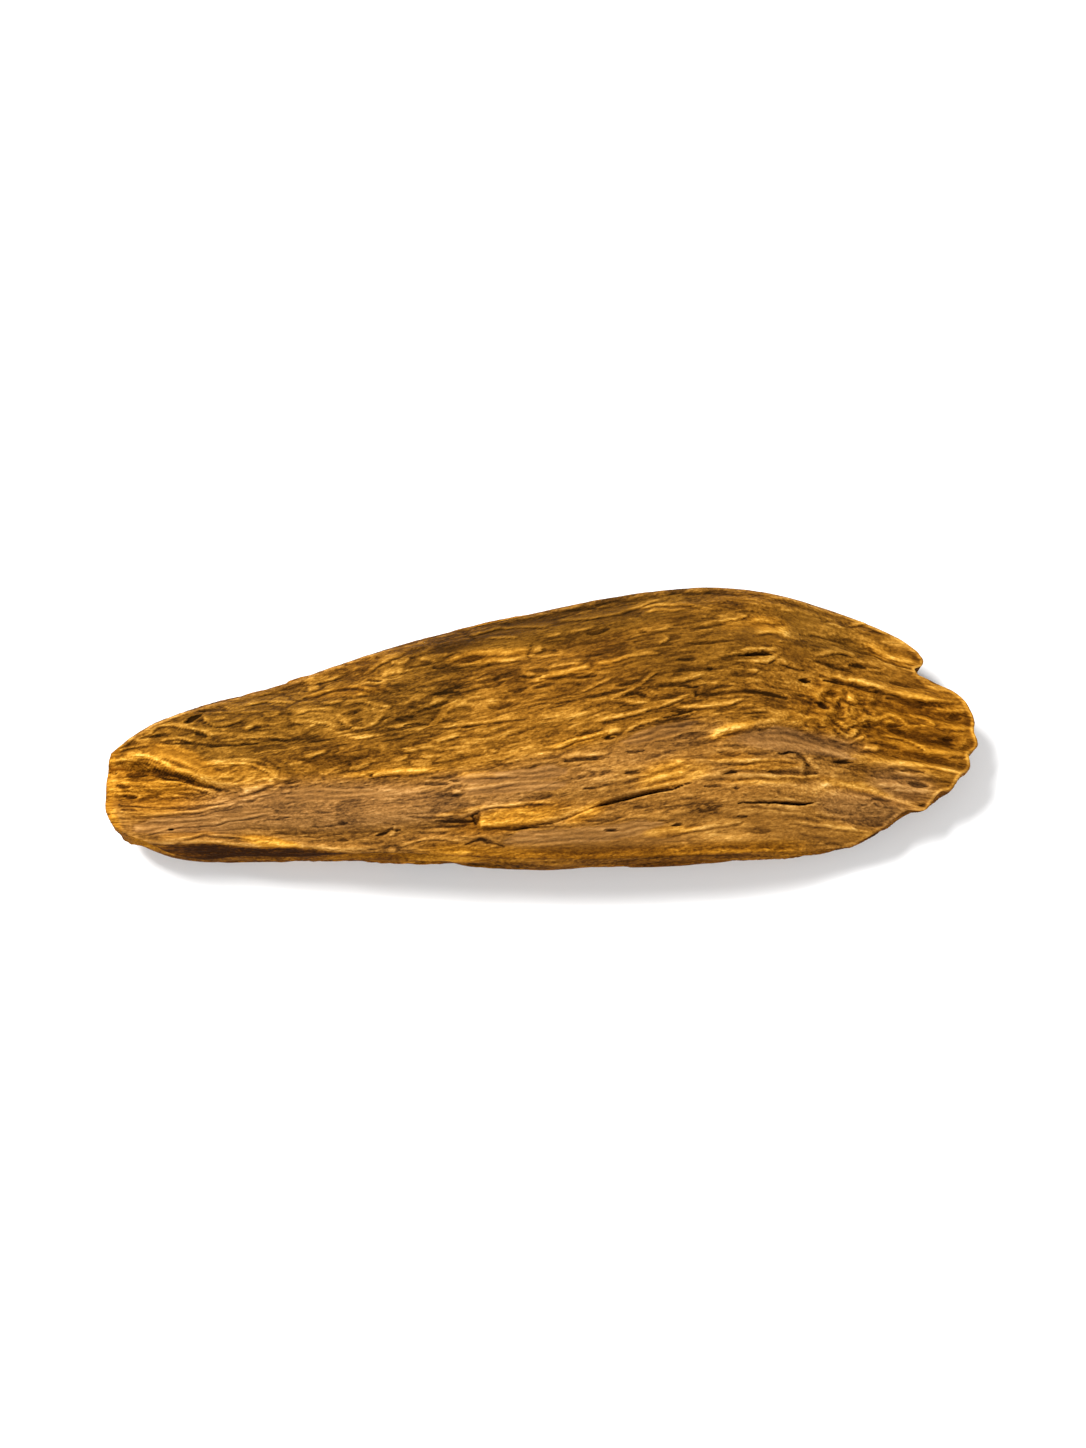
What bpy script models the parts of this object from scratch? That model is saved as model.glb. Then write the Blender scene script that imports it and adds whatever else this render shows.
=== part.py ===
"""A carved chip of agarwood: one solid, lying on its hewn underside.

+X runs along the grain to the wide fluted end, +Y to the back edge and +Z up. The origin is the
middle of the footprint, on the resting face. Lengths in this script are millimetres, and the mesh
is written in metres.
"""

import bpy
import numpy as np

MM = 0.001

# Driving sizes
LENGTH = 60.0
WIDTH = 19.4
THICKNESS = 9.6
HALF_LENGTH = LENGTH / 2
HALF_WIDTH = WIDTH / 2

# Outline seen from above, each side a smooth curve through its points
FRONT_EDGE = (
    (-28.4, -7.9),
    (-26.1, -8.7),
    (-20.0, -9.1),
    (-10.0, -9.3),
    (-1.0, -HALF_WIDTH),
    (8.0, -9.5),
    (16.2, -8.9),
    (21.2, -8.2),
)
RIGHT_END = (
    (21.2, -8.2),
    (23.3, -7.1),
    (25.0, -5.9),
    (26.3, -5.8),
    (26.8, -5.1),
    (27.3, -4.6),
    (28.0, -4.4),
    (28.7, -3.5),
    (29.4, -2.8),
    (29.3, -2.0),
    (HALF_LENGTH, -1.1),
    (29.7, -0.2),
    (29.8, 0.5),
    (29.4, 1.4),
    (28.9, 2.1),
    (28.2, 2.7),
    (27.1, 2.9),
    (26.2, 3.5),
    (25.7, 4.3),
    (26.3, 4.8),
    (25.9, 5.6),
)
BACK_EDGE = (
    (-29.7, -2.0),
    (-28.2, -0.8),
    (-24.6, 0.9),
    (-17.1, 3.2),
    (-9.5, 5.7),
    (-7.9, 6.2),
    (-1.1, 7.7),
    (6.5, 9.2),
    (12.3, HALF_WIDTH),
    (17.6, 9.0),
    (22.5, 7.6),
    (24.6, 6.5),
    (25.9, 5.6),
)
LEFT_END = (
    (-28.4, -7.9),
    (-29.8, -6.5),
    (-HALF_LENGTH, -4.4),
    (-29.9, -2.9),
    (-29.7, -2.0),
)

# Heights along the length, as (x, z): the crown, both rims and the two lines that bound the body
CROWN = (
    (-30, 5.1), (-24, 6.6), (-15, 8.3), (-4, 9.3), (6, THICKNESS), (13, 9.0),
    (19, 7.3), (25, 5.2), (30, 3.5),
)
BACK_RIM = ((-30, 3.9), (-15, 4.3), (0, 4.8), (12, 4.9), (20, 4.3), (26, 3.4), (30, 3.0))
FRONT_RIM = ((-30, 3.9), (-20, 4.7), (-5, 5.3), (8, 5.1), (16, 4.5), (22, 3.7), (26, 3.1), (30, 2.8))
BACK_FLOW = (
    (-30, -1.0), (-25, 0.8), (-17, 3.3), (-9, 5.8), (-1, 7.9), (7, 9.5),
    (12.5, 9.8), (17, 9.2), (23, 7.4), (30, 4.9),
)
FRONT_FLOW = (
    (-30, -8.6), (-20, -9.1), (-10, -9.3), (-1, -9.7), (8, -9.6), (16, -9.0),
    (21, -8.4), (30, -7.2),
)
CROWN_PLACE = 0.44
SECTION_POWER = 2.3
PAST_RIM_LIMIT = 1.2

# The features of the top are placed by how far up they lie in a view from this angle above the level
VIEW_RISE = np.radians(76.0)
VIEW_SHIFT = 0.85

# Grain: how far it has climbed towards the back edge at each x, and how that fades to the front
GRAIN_CLIMB = (
    (-30, -4.2), (-20, -3.7), (-10, -2.3), (0, -0.4), (8, 1.1), (15, 1.8),
    (20, 1.2), (25, 0.2), (30, -0.9),
)
FRONT_SHARE, FRONT_FADE_WIDTH = 0.35, 7.8
GRAIN_RIDGE_LENGTH = 9.0
GRAIN_RIDGE_WIDTH = 1.5
GRAIN_RIDGE_HEIGHT = 0.32

# Gouge cuts: broad hollows along the middle, and narrow flutes that run out at the right end
GOUGE_WIDTH = 3.4
GOUGE_DEPTH = 0.38
GOUGE_WANDER, WANDER_LENGTH, WANDER_WIDTH = 0.45, 14.0, 5.0
FLUTE_RIDGES = (-9.6, -7.3, -5.6, -4.1, -2.7, -1.3, 0.4, 2.3, 4.2, 5.9, 8.2)
FLUTE_DEPTH = 0.62
FLUTES_FROM, FLUTES_FULL = 15.0, 25.0
END_SWEEP_DEPTH = 0.9
END_SWEEP_FROM, END_SWEEP_FULL, END_SWEEP_OUT, END_SWEEP_END = 14.0, 22.0, 24.0, 31.0

# Scoop in the left end, under a crisp ridge, and the leaf-shaped pad beside it
SCOOP_RIDGE = ((-30.0, -2.2), (-27.2, -2.05), (-25.6, -2.95), (-23.1, -4.3), (-21.4, -5.2))
SCOOP_DEPTH = 1.25
SCOOP_LIP, SCOOP_REACH = 1.3, 4.3
SCOOP_RUN_OUT = 8.6
PAD_PLACE, PAD_HALF_LENGTH, PAD_HALF_WIDTH, PAD_HEIGHT = (-21.0, -3.5), 2.9, 1.25, 0.28
PAD_FLAT_SHARE, PAD_SLOPE_SHARE = 0.7, 0.4

# The steep face that the front edge drops to on the left, below a lip at these (x, seen) places
FACE_LIP = (
    (-30, -7.0), (-28.3, -7.6), (-27, -7.9), (-25, -7.9), (-23, -7.75), (-20, -8.05),
    (-16, -8.4), (-14, -8.75), (-10, -8.95), (-8, -9.3), (-5, -9.9),
)
FACE_SLOPE = 2.2
FACE_FROM, FACE_FULL = -28.8, -26.5

# The long split near the front edge, with the raised strip above it
SPLIT_PATH = ((-4.4, -6.9), (-0.5, -6.6), (3.7, -5.6), (7.0, -4.5), (10.4, -3.6))
SPLIT_WIDTH, SPLIT_DEPTH = 0.75, 0.85
SPLIT_OPENING, SPLIT_CLOSING = 0.25, 0.30
STRIP_WIDTH, STRIP_HEIGHT = 1.15, 0.42
STRIP_EDGE_WIDTH = 0.55
STRIP_FULL_SHARE, STRIP_FADE_SHARE = 0.35, 0.40

# A plate that ends in a step, and the rough knot on the upper right
STEP_FROM, STEP_FULL, STEP_TO = 8.0, 12.0, 17.3
STEP_LOW, STEP_HIGH, STEP_HEIGHT = -4.2, -2.0, 0.34
STEP_EDGE_WIDTH = 0.6
KNOT_PLACE, KNOT_RADIUS, KNOT_HEIGHT = (20.0, 1.5), 3.4, 0.34
KNOT_STRETCH, KNOT_CORE_SHARE = 1.3, 0.3
KNOT_BUMP_SPACING = 1.25

# Underside: where each hewn facet starts to rise from the resting face, and its slope
BACK_BEVEL_INSET, BACK_BEVEL_SLOPE = 5.0, 0.45
FRONT_BEVEL_INSET, FRONT_BEVEL_SLOPE = 2.3, 0.48
RIGHT_BEVEL_FROM, RIGHT_BEVEL_SLOPE = 20.5, 0.195
LEFT_BEVEL_FROM, LEFT_BEVEL_SLOPE = -23.0, 0.23

# Edge wall: share of its height by which it is set in above and below its widest line
WALL_INSET_ABOVE, WALL_INSET_BELOW = 0.10, 0.24
WALL_WIDEST = 0.42
FOOT_SMOOTHING = 10

# Mesh counts along and across; the underside has half of each
CELLS_ALONG, CELLS_ACROSS, WALL_ROWS = 84, 44, 2

# Finish
WOOD_COLOUR = (0.34, 0.15, 0.025, 1.0)
WOOD_ROUGHNESS = 0.6
SHARP_EDGE_DEGREES = 48.0


def ease(value):
    """0 to 1 with level ends, for a value that runs from 0 to 1."""
    value = np.clip(value, 0.0, 1.0)
    return value * value * (3.0 - 2.0 * value)


def ramp(value, start, full):
    """0 up to start, 1 from full on, and smooth between; it falls where start is above full."""
    return ease((value - start) / (full - start))


def profile(points, x):
    """A smooth curve of height over x, through the given (x, height) points."""
    known_x, known_z = np.array(points, float).T
    slope = np.gradient(known_z, known_x)
    x = np.clip(x, known_x[0], known_x[-1])
    left = np.clip(np.searchsorted(known_x, x) - 1, 0, len(known_x) - 2)
    span = known_x[left + 1] - known_x[left]
    t = (x - known_x[left]) / span
    start = (1 + 2 * t) * (1 - t) ** 2 * known_z[left] + t * (1 - t) ** 2 * span * slope[left]
    end = t * t * (3 - 2 * t) * known_z[left + 1] + t * t * (t - 1) * span * slope[left + 1]
    return start + end


def curve_through(points, count):
    """count + 1 evenly spaced points on a smooth curve through the given (x, y) points."""
    points = np.array(points, float)
    steps = np.linalg.norm(np.diff(points, axis=0), axis=1)
    knots = np.concatenate([[0.0], np.cumsum(steps)])
    fine = np.linspace(0.0, knots[-1], 40 * len(points))
    line = np.stack([profile(np.stack([knots, axis], 1), fine) for axis in points.T], 1)
    walked = np.concatenate([[0.0], np.cumsum(np.linalg.norm(np.diff(line, axis=0), axis=1))])
    wanted = np.linspace(0.0, walked[-1], count + 1)
    return np.stack([np.interp(wanted, walked, axis) for axis in line.T], 1)


def smooth_noise(x, y, seed):
    """Smooth random relief between -1 and 1, with features about one unit across."""
    lattice = np.random.default_rng(seed).uniform(-1.0, 1.0, (64, 64))
    column, row = np.floor(x).astype(int), np.floor(y).astype(int)
    across, up = ease(x - column), ease(y - row)
    column, row, next_column, next_row = column % 64, row % 64, (column + 1) % 64, (row + 1) % 64
    low = lattice[column, row] * (1 - across) + lattice[next_column, row] * across
    high = lattice[column, next_row] * (1 - across) + lattice[next_column, next_row] * across
    return low * (1 - up) + high * up


def crown_height(x, y):
    """The bare top: a low crown along the piece that falls to the two rims."""
    back, front = profile(BACK_FLOW, x), profile(FRONT_FLOW, x)
    middle = front + (back - front) * CROWN_PLACE
    behind = y > middle
    reach = np.where(behind, back - middle, middle - front)
    rim = np.where(behind, profile(BACK_RIM, x), profile(FRONT_RIM, x))
    share = np.clip(np.abs(y - middle) / reach, 0.0, PAST_RIM_LIMIT) ** SECTION_POWER
    return rim + (profile(CROWN, x) - rim) * (1 - share)


def seen_across(x, y):
    """How far up a point of the bare top lies in the view that places its features."""
    return np.sin(VIEW_RISE) * y + np.cos(VIEW_RISE) * crown_height(x, y) - VIEW_SHIFT


def grain_line(x, seen):
    """Which line of the grain a point lies on, as that line's place where the grain is level."""
    share = FRONT_SHARE + (1 - FRONT_SHARE) * ramp(seen, -HALF_WIDTH, FRONT_FADE_WIDTH - HALF_WIDTH)
    return seen - share * profile(GRAIN_CLIMB, x)


def flute_hollow(line):
    """0 on a flute's ridge and 1 in its bottom."""
    ridges = np.array(FLUTE_RIDGES)
    cell = np.interp(line, ridges, np.arange(len(ridges)))
    return np.sin(np.pi * cell) ** 2


def gouge_relief(x, line):
    """Hollows that the gouge left along the middle, and the flutes at the right end."""
    at_end = ramp(x, FLUTES_FROM, FLUTES_FULL)
    wander = GOUGE_WANDER * smooth_noise(x / WANDER_LENGTH, line / WANDER_WIDTH, 3)
    broad = GOUGE_DEPTH * np.sin(np.pi * (line / GOUGE_WIDTH + wander)) ** 2
    flutes = FLUTE_DEPTH * flute_hollow(line)
    sweep = ramp(x, END_SWEEP_FROM, END_SWEEP_FULL) * ramp(x, END_SWEEP_END, END_SWEEP_OUT)
    return -(1 - at_end) * broad - at_end * flutes - END_SWEEP_DEPTH * sweep


def left_scoop(x, seen):
    """Depth of the scoop cut in from the left end."""
    under_ridge = profile(SCOOP_RIDGE, x) - seen
    fade = np.sqrt(np.clip((SCOOP_RIDGE[-1][0] - x) / SCOOP_RUN_OUT, 0.0, 1.0))
    hollow = ramp(under_ridge, 0.0, SCOOP_LIP) * ramp(under_ridge, SCOOP_LIP + SCOOP_REACH, SCOOP_LIP)
    return SCOOP_DEPTH * fade * hollow


def leaf_pad(x, seen):
    """Height of the smooth leaf-shaped pad beside the scoop."""
    along, across = x - PAD_PLACE[0], seen - PAD_PLACE[1]
    distance = np.hypot(along / PAD_HALF_LENGTH, across / PAD_HALF_WIDTH)
    return PAD_HEIGHT * ramp(distance, PAD_FLAT_SHARE + PAD_SLOPE_SHARE, PAD_FLAT_SHARE)


def front_face(x, seen):
    """Depth to which the steep face along the front has fallen below its lip."""
    return FACE_SLOPE * np.maximum(0.0, profile(FACE_LIP, x) - seen) * ramp(x, FACE_FROM, FACE_FULL)


def long_split(x, seen):
    """The split's groove, and the strip that stands proud above it."""
    start, end = SPLIT_PATH[0][0], SPLIT_PATH[-1][0]
    above = seen - profile(SPLIT_PATH, x)
    along = (x - start) / (end - start)
    opened = ramp(along, 0.0, SPLIT_OPENING) * ramp(along, 1.0, 1 - SPLIT_CLOSING)
    groove = SPLIT_DEPTH * opened * ramp(np.abs(above), SPLIT_WIDTH, 0.0)
    strip = ramp(above, 0.0, STRIP_EDGE_WIDTH) * ramp(above, STRIP_WIDTH + STRIP_EDGE_WIDTH, STRIP_WIDTH)
    strip *= (along > 0) * ramp(along, STRIP_FULL_SHARE + STRIP_FADE_SHARE, STRIP_FULL_SHARE)
    return STRIP_HEIGHT * strip - groove


def plate_step(x, seen):
    """A thin plate of wood that ends in a step on its right."""
    low = ramp(seen, STEP_LOW, STEP_LOW + STEP_EDGE_WIDTH)
    high = ramp(seen, STEP_HIGH + STEP_EDGE_WIDTH, STEP_HIGH)
    along = ramp(x, STEP_FROM, STEP_FULL) * ramp(x, STEP_TO + STEP_EDGE_WIDTH, STEP_TO)
    return STEP_HEIGHT * low * high * along


def knot_relief(x, seen):
    """Rough bumps and pits of the knot."""
    distance = np.hypot((x - KNOT_PLACE[0]) / KNOT_STRETCH, seen - KNOT_PLACE[1])
    fade = ramp(distance, KNOT_RADIUS, KNOT_CORE_SHARE * KNOT_RADIUS)
    return KNOT_HEIGHT * fade * smooth_noise(x / KNOT_BUMP_SPACING, seen / KNOT_BUMP_SPACING, 8)


def top_height(x, y):
    """Height of the top surface."""
    seen = seen_across(x, y)
    line = grain_line(x, seen)
    ridges = GRAIN_RIDGE_HEIGHT * smooth_noise(x / GRAIN_RIDGE_LENGTH, line / GRAIN_RIDGE_WIDTH, 5)
    cut = left_scoop(x, seen) + front_face(x, seen)
    relief = gouge_relief(x, line) + ridges - cut + leaf_pad(x, seen) + long_split(x, seen)
    return crown_height(x, y) + relief + plate_step(x, seen) + knot_relief(x, seen)


def under_height(x, y):
    """Height of the underside: level where it rests, with hewn facets that rise to the edges."""
    facets = (
        BACK_BEVEL_SLOPE * (y - profile(BACK_FLOW, x) + BACK_BEVEL_INSET),
        FRONT_BEVEL_SLOPE * (profile(FRONT_FLOW, x) + FRONT_BEVEL_INSET - y),
        RIGHT_BEVEL_SLOPE * (x - RIGHT_BEVEL_FROM),
        LEFT_BEVEL_SLOPE * (LEFT_BEVEL_FROM - x),
    )
    return np.maximum(0.0, np.max(facets, axis=0))


def outline_sides():
    """The four sides of the outline: front and back run to +X, the ends run to the back edge."""
    front = curve_through(FRONT_EDGE, CELLS_ALONG)
    back = curve_through(BACK_EDGE, CELLS_ALONG)
    left = curve_through(LEFT_END, CELLS_ACROSS)
    right = curve_through(RIGHT_END, CELLS_ACROSS)
    return front, back, left, right


def grid_rim(columns, rows):
    """Indices (column, row) of a grid's border, once round from the front left corner."""
    front = [(i, 0) for i in range(columns)]
    right = [(columns, j) for j in range(rows)]
    back = [(i, rows) for i in range(columns, 0, -1)]
    left = [(0, j) for j in range(rows, 0, -1)]
    return np.array(front + right + back + left)


def fill_patch(border, columns, rows):
    """Points of a grid that spans the closed border, blended from its four sides."""
    rim = grid_rim(columns, rows)
    grid = np.zeros((columns + 1, rows + 1, 2))
    grid[rim[:, 0], rim[:, 1]] = border
    u = np.linspace(0.0, 1.0, columns + 1)[:, None, None]
    v = np.linspace(0.0, 1.0, rows + 1)[None, :, None]
    lengthwise = (1 - v) * grid[:, :1] + v * grid[:, -1:]
    crosswise = (1 - u) * grid[:1] + u * grid[-1:]
    ends = (1 - u) * ((1 - v) * grid[0, 0] + v * grid[0, -1]) + u * ((1 - v) * grid[-1, 0] + v * grid[-1, -1])
    return lengthwise + crosswise - ends


def inward_directions(border):
    """Unit vectors that point into the outline at each point of the border."""
    along = np.roll(border, -2, axis=0) - np.roll(border, 2, axis=0)
    inward = np.stack([-along[:, 1], along[:, 0]], 1)
    return inward / np.linalg.norm(inward, axis=1, keepdims=True)


def smoothed(border):
    """The border with its teeth and notches worn down."""
    for _ in range(FOOT_SMOOTHING):
        border = (np.roll(border, 1, axis=0) + 2 * border + np.roll(border, -1, axis=0)) / 4
    return border


def edge_wall(outline):
    """Rings of points down the edge wall, from the top's rim to the underside's smoother rim."""
    x, y = outline.T
    top, under = top_height(x, y), under_height(x, y)
    height = (top - under)[:, None]
    foot = smoothed(outline)
    inward = inward_directions(foot)
    rings = []
    for down in np.linspace(0.0, 1.0, WALL_ROWS + 1):
        above = max(0.0, 1 - down / WALL_WIDEST) ** 2 * WALL_INSET_ABOVE
        below = max(0.0, (down - WALL_WIDEST) / (1 - WALL_WIDEST)) ** 2 * WALL_INSET_BELOW
        plan = outline + (foot - outline) * down + inward * height * (above + below)
        rings.append(np.column_stack([plan, top + (under - top) * down]))
    return rings


class Shell:
    """Points and faces of the closed surface, gathered sheet by sheet."""

    def __init__(self):
        self.points = []
        self.faces = []

    def add_points(self, points):
        """Adds points and gives the index of each."""
        first = len(self.points)
        self.points.extend(map(tuple, points))
        return np.arange(first, first + len(points))

    def add_sheet(self, border, border_index, columns, rows, height_of, faces_up):
        """A grid over the border, with its own inner points at the heights that height_of gives."""
        plan = fill_patch(border, columns, rows)
        index = np.zeros((columns + 1, rows + 1), int)
        rim = grid_rim(columns, rows)
        index[rim[:, 0], rim[:, 1]] = border_index
        inner = plan[1:-1, 1:-1].reshape(-1, 2)
        heights = height_of(inner[:, 0], inner[:, 1])
        index[1:-1, 1:-1] = self.add_points(np.column_stack([inner, heights])).reshape(columns - 1, rows - 1)
        for i in range(columns):
            for j in range(rows):
                face = [index[i, j], index[i + 1, j], index[i + 1, j + 1], index[i, j + 1]]
                self.faces.append(face if faces_up else face[::-1])

    def add_band(self, upper, lower):
        """Faces between two rings of the same count, the first above the second."""
        for here, after in zip(range(len(upper)), np.roll(range(len(upper)), -1)):
            self.faces.append([lower[here], lower[after], upper[after], upper[here]])

    def add_halving_band(self, upper, lower):
        """Faces between a ring and one below it with half as many points."""
        for here in range(len(lower)):
            after = (here + 1) % len(lower)
            start, middle, end = 2 * here, 2 * here + 1, (2 * here + 2) % len(upper)
            self.faces.append([lower[here], upper[middle], upper[start]])
            self.faces.append([lower[here], lower[after], upper[middle]])
            self.faces.append([lower[after], upper[end], upper[middle]])


def outline_border(sides):
    """One closed loop of points round the outline, from its four sides."""
    front, back, left, right = sides
    return np.concatenate([front[:-1], right[:-1], back[:0:-1], left[:0:-1]])


def build_shell():
    """The whole closed surface, in millimetres."""
    rings = edge_wall(outline_border(outline_sides()))
    shell = Shell()
    indices = [shell.add_points(ring) for ring in rings[:-1]]
    shell.add_sheet(rings[0][:, :2], indices[0], CELLS_ALONG, CELLS_ACROSS, top_height, True)
    for upper, lower in zip(indices, indices[1:]):
        shell.add_band(upper, lower)
    foot = rings[-1][::2]
    foot_index = shell.add_points(foot)
    shell.add_halving_band(indices[-1], foot_index)
    shell.add_sheet(foot[:, :2], foot_index, CELLS_ALONG // 2, CELLS_ACROSS // 2, under_height, False)
    return shell


def wood_material():
    """Oiled, resin-dark agarwood."""
    material = bpy.data.materials.new("agarwood")
    material.use_nodes = True
    shader = material.node_tree.nodes["Principled BSDF"]
    shader.inputs["Base Color"].default_value = WOOD_COLOUR
    shader.inputs["Roughness"].default_value = WOOD_ROUGHNESS
    shader.inputs["Metallic"].default_value = 0.0
    return material


def make_piece():
    """The chip as one named object at its real size."""
    shell = build_shell()
    mesh = bpy.data.meshes.new("agarwood_piece")
    mesh.from_pydata((np.array(shell.points) * MM).tolist(), [], [list(map(int, f)) for f in shell.faces])
    mesh.materials.append(wood_material())
    mesh.shade_smooth()
    mesh.set_sharp_from_angle(angle=np.radians(SHARP_EDGE_DEGREES))
    piece = bpy.data.objects.new("agarwood_piece", mesh)
    bpy.context.scene.collection.objects.link(piece)
    return piece


def clear_scene():
    """Removes whatever objects the scene starts with."""
    for thing in list(bpy.data.objects):
        bpy.data.objects.remove(thing)


clear_scene()
make_piece()
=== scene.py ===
"""A carved chip of agarwood, as its fine mesh, its wood and the pale floor it lies on.

+X runs along the grain to the wide fluted end, +Y to the back edge and +Z up. Lengths are
millimetres until the mesh is written in metres.
"""

import bpy
import numpy as np
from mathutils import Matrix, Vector


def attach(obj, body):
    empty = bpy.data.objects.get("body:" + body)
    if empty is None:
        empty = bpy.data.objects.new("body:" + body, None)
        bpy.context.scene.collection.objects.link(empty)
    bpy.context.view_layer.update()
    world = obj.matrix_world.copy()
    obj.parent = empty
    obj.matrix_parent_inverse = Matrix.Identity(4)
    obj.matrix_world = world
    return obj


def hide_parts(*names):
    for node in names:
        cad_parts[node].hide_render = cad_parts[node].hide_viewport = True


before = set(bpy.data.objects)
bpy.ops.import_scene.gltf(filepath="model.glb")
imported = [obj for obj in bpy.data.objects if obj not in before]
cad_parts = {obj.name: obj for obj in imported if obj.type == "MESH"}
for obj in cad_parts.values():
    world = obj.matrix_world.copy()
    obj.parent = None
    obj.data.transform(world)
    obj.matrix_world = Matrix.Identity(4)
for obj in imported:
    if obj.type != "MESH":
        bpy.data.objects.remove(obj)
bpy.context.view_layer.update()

MM = 0.001

# Side of the noise lattice, steps from point to point of a curve and of a placed mark, and how many
# border points are measured at a time
LATTICE = 64
CURVE_STEPS, MARK_STEPS = 40, 6
BORDER_BLOCK = 40

# Driving sizes
LENGTH = 60.0
WIDTH = 19.4
THICKNESS = 9.6
HALF_LENGTH = LENGTH / 2
HALF_WIDTH = WIDTH / 2

# Outline seen from above, each side a smooth curve through its points
FRONT_EDGE = (
    (-28.4, -7.9), (-26.1, -8.7), (-20.0, -9.1), (-10.0, -9.3), (-1.0, -HALF_WIDTH), (8.0, -9.5),
    (16.2, -8.9), (21.2, -8.2),
)
RIGHT_END = (
    (21.2, -8.2), (23.3, -7.1), (25.0, -5.9), (26.3, -5.8), (26.8, -5.1), (27.3, -4.6),
    (28.0, -4.4), (28.7, -3.5), (29.4, -2.8), (29.3, -2.0), (HALF_LENGTH, -1.1), (29.7, -0.2),
    (29.8, 0.5), (29.4, 1.4), (28.9, 2.1), (28.2, 2.7), (27.1, 2.9), (26.2, 3.5), (25.7, 4.2),
    (26.2, 4.5), (26.35, 5.0), (26.0, 5.5),
)
BACK_EDGE = (
    (-29.7, -2.0), (-28.2, -0.8), (-24.6, 0.9), (-17.1, 3.2), (-9.5, 5.7), (-7.9, 6.2),
    (-1.1, 7.7), (6.5, 9.2), (12.3, HALF_WIDTH), (17.6, 9.0), (22.5, 7.6), (24.6, 6.5), (26.0, 5.5),
)
LEFT_END = (
    (-28.4, -7.9), (-29.75, -6.7), (-29.98, -6.1), (-HALF_LENGTH, -4.4), (-29.9, -2.9), (-29.7, -2.0),
)

# Heights along the length, as (x, z): the crown, both rims and the two lines that bound the body
CROWN = (
    (-30, 5.1), (-24, 6.6), (-15, 8.3), (-4, 9.3), (6, THICKNESS), (13, 9.0), (19, 7.3), (25, 5.2),
    (30, 3.5),
)
BACK_RIM = ((-30, 3.9), (-15, 4.3), (0, 4.8), (12, 4.9), (20, 4.3), (26, 3.4), (30, 3.0))
FRONT_RIM = ((-30, 3.9), (-20, 4.7), (-5, 5.3), (8, 5.1), (16, 4.5), (22, 3.7), (26, 3.1), (30, 2.8))
BACK_FLOW = (
    (-30, -1.0), (-25, 0.8), (-17, 3.3), (-9, 5.8), (-1, 7.9), (7, 9.5), (12.5, 9.8), (17, 9.2),
    (23, 7.4), (30, 4.9),
)
FRONT_FLOW = (
    (-30, -8.6), (-20, -9.1), (-10, -9.3), (-1, -9.7), (8, -9.6), (16, -9.0), (21, -8.4), (30, -7.2),
)

# The crown's share of the way from front to back, how full its section is, and how far past a rim it runs
CROWN_PLACE = 0.44
SECTION_POWER = 2.3
PAST_RIM_LIMIT = 1.2

# The features of the top are placed by how far up they lie in a view from this angle above the level
VIEW_RISE = np.radians(76.0)
VIEW_SHIFT = 0.85

# Grain: how far it has climbed towards the back edge at each x, and how that fades to the front
GRAIN_CLIMB = (
    (-30, -4.2), (-20, -3.7), (-10, -2.3), (0, -0.4), (8, 1.1), (15, 1.8), (20, 1.2), (25, 0.2),
    (30, -0.9),
)
FRONT_SHARE, FRONT_FADE_WIDTH = 0.35, 7.8

# Gouge cuts: broad hollows along the middle, and narrow flutes that run out at the right end
GOUGE_WIDTH = 3.4
GOUGE_DEPTH = 0.38
FLUTE_RIDGES = (-9.6, -7.3, -5.6, -4.1, -2.7, -1.3, 0.4, 2.3, 4.2, 5.9, 8.2)
FLUTE_DEPTH = 0.5
FLUTES_FROM, FLUTES_FULL = 15.0, 25.0
END_SWEEP_DEPTH = 0.9
END_SWEEP_FROM, END_SWEEP_FULL, END_SWEEP_OUT, END_SWEEP_END = 14.0, 22.0, 24.0, 31.0

# Scoop in the left end, under a crisp ridge, and the leaf-shaped pad beside it
SCOOP_RIDGE = ((-30.0, -2.2), (-27.4, -2.15), (-25.6, -2.75), (-23.1, -3.45), (-21.4, -4.2))
SCOOP_DEPTH = 1.25
SCOOP_LIP, SCOOP_REACH = 0.55, 4.6
SCOOP_RUN_OUT = 8.6
SCOOP_CLOSED, SCOOP_OPEN = -21.4, -23.8
PAD_PLACE, PAD_HALF_LENGTH, PAD_HALF_WIDTH, PAD_HEIGHT = (-20.8, -3.1), 2.9, 1.0, 0.14
PAD_FLAT_SHARE, PAD_SLOPE_SHARE = 0.8, 0.3

# The steep face that the front edge drops to on the left, below a lip at these (x, seen) places; the face is
# painted in shade
FACE_LIP = (
    (-30, -7.0), (-28.3, -7.6), (-27, -7.9), (-25, -7.9), (-23, -7.75), (-20, -8.0), (-16, -8.1),
    (-14, -8.4), (-10, -8.75), (-8, -9.2), (-5, -9.9),
)
FACE_SLOPE = 2.2
FACE_FROM, FACE_FULL = -28.8, -26.5

# The long split near the front edge, with the raised strip above it
SPLIT_PATH = ((-4.4, -6.9), (-0.5, -6.65), (1.6, -6.15), (3.7, -5.3), (7.0, -4.4), (10.4, -3.6))
SPLIT_WIDTH, SPLIT_DEPTH = 0.30, 0.5
SPLIT_OPENING, SPLIT_CLOSING, SPLIT_THIN_SHARE = 0.10, 0.25, 0.18
SPLIT_WIDENS_FROM, SPLIT_WIDENS_TO = 0.47, 0.62
STRIP_WIDTH, STRIP_HEIGHT = 1.0, 0.42
STRIP_EDGE_WIDTH, STRIP_BACK_WIDTH = 0.22, 0.75
STRIP_START_SHARE, STRIP_FULL_SHARE, STRIP_FADE_SHARE = 0.015, 0.26, 0.24

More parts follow.
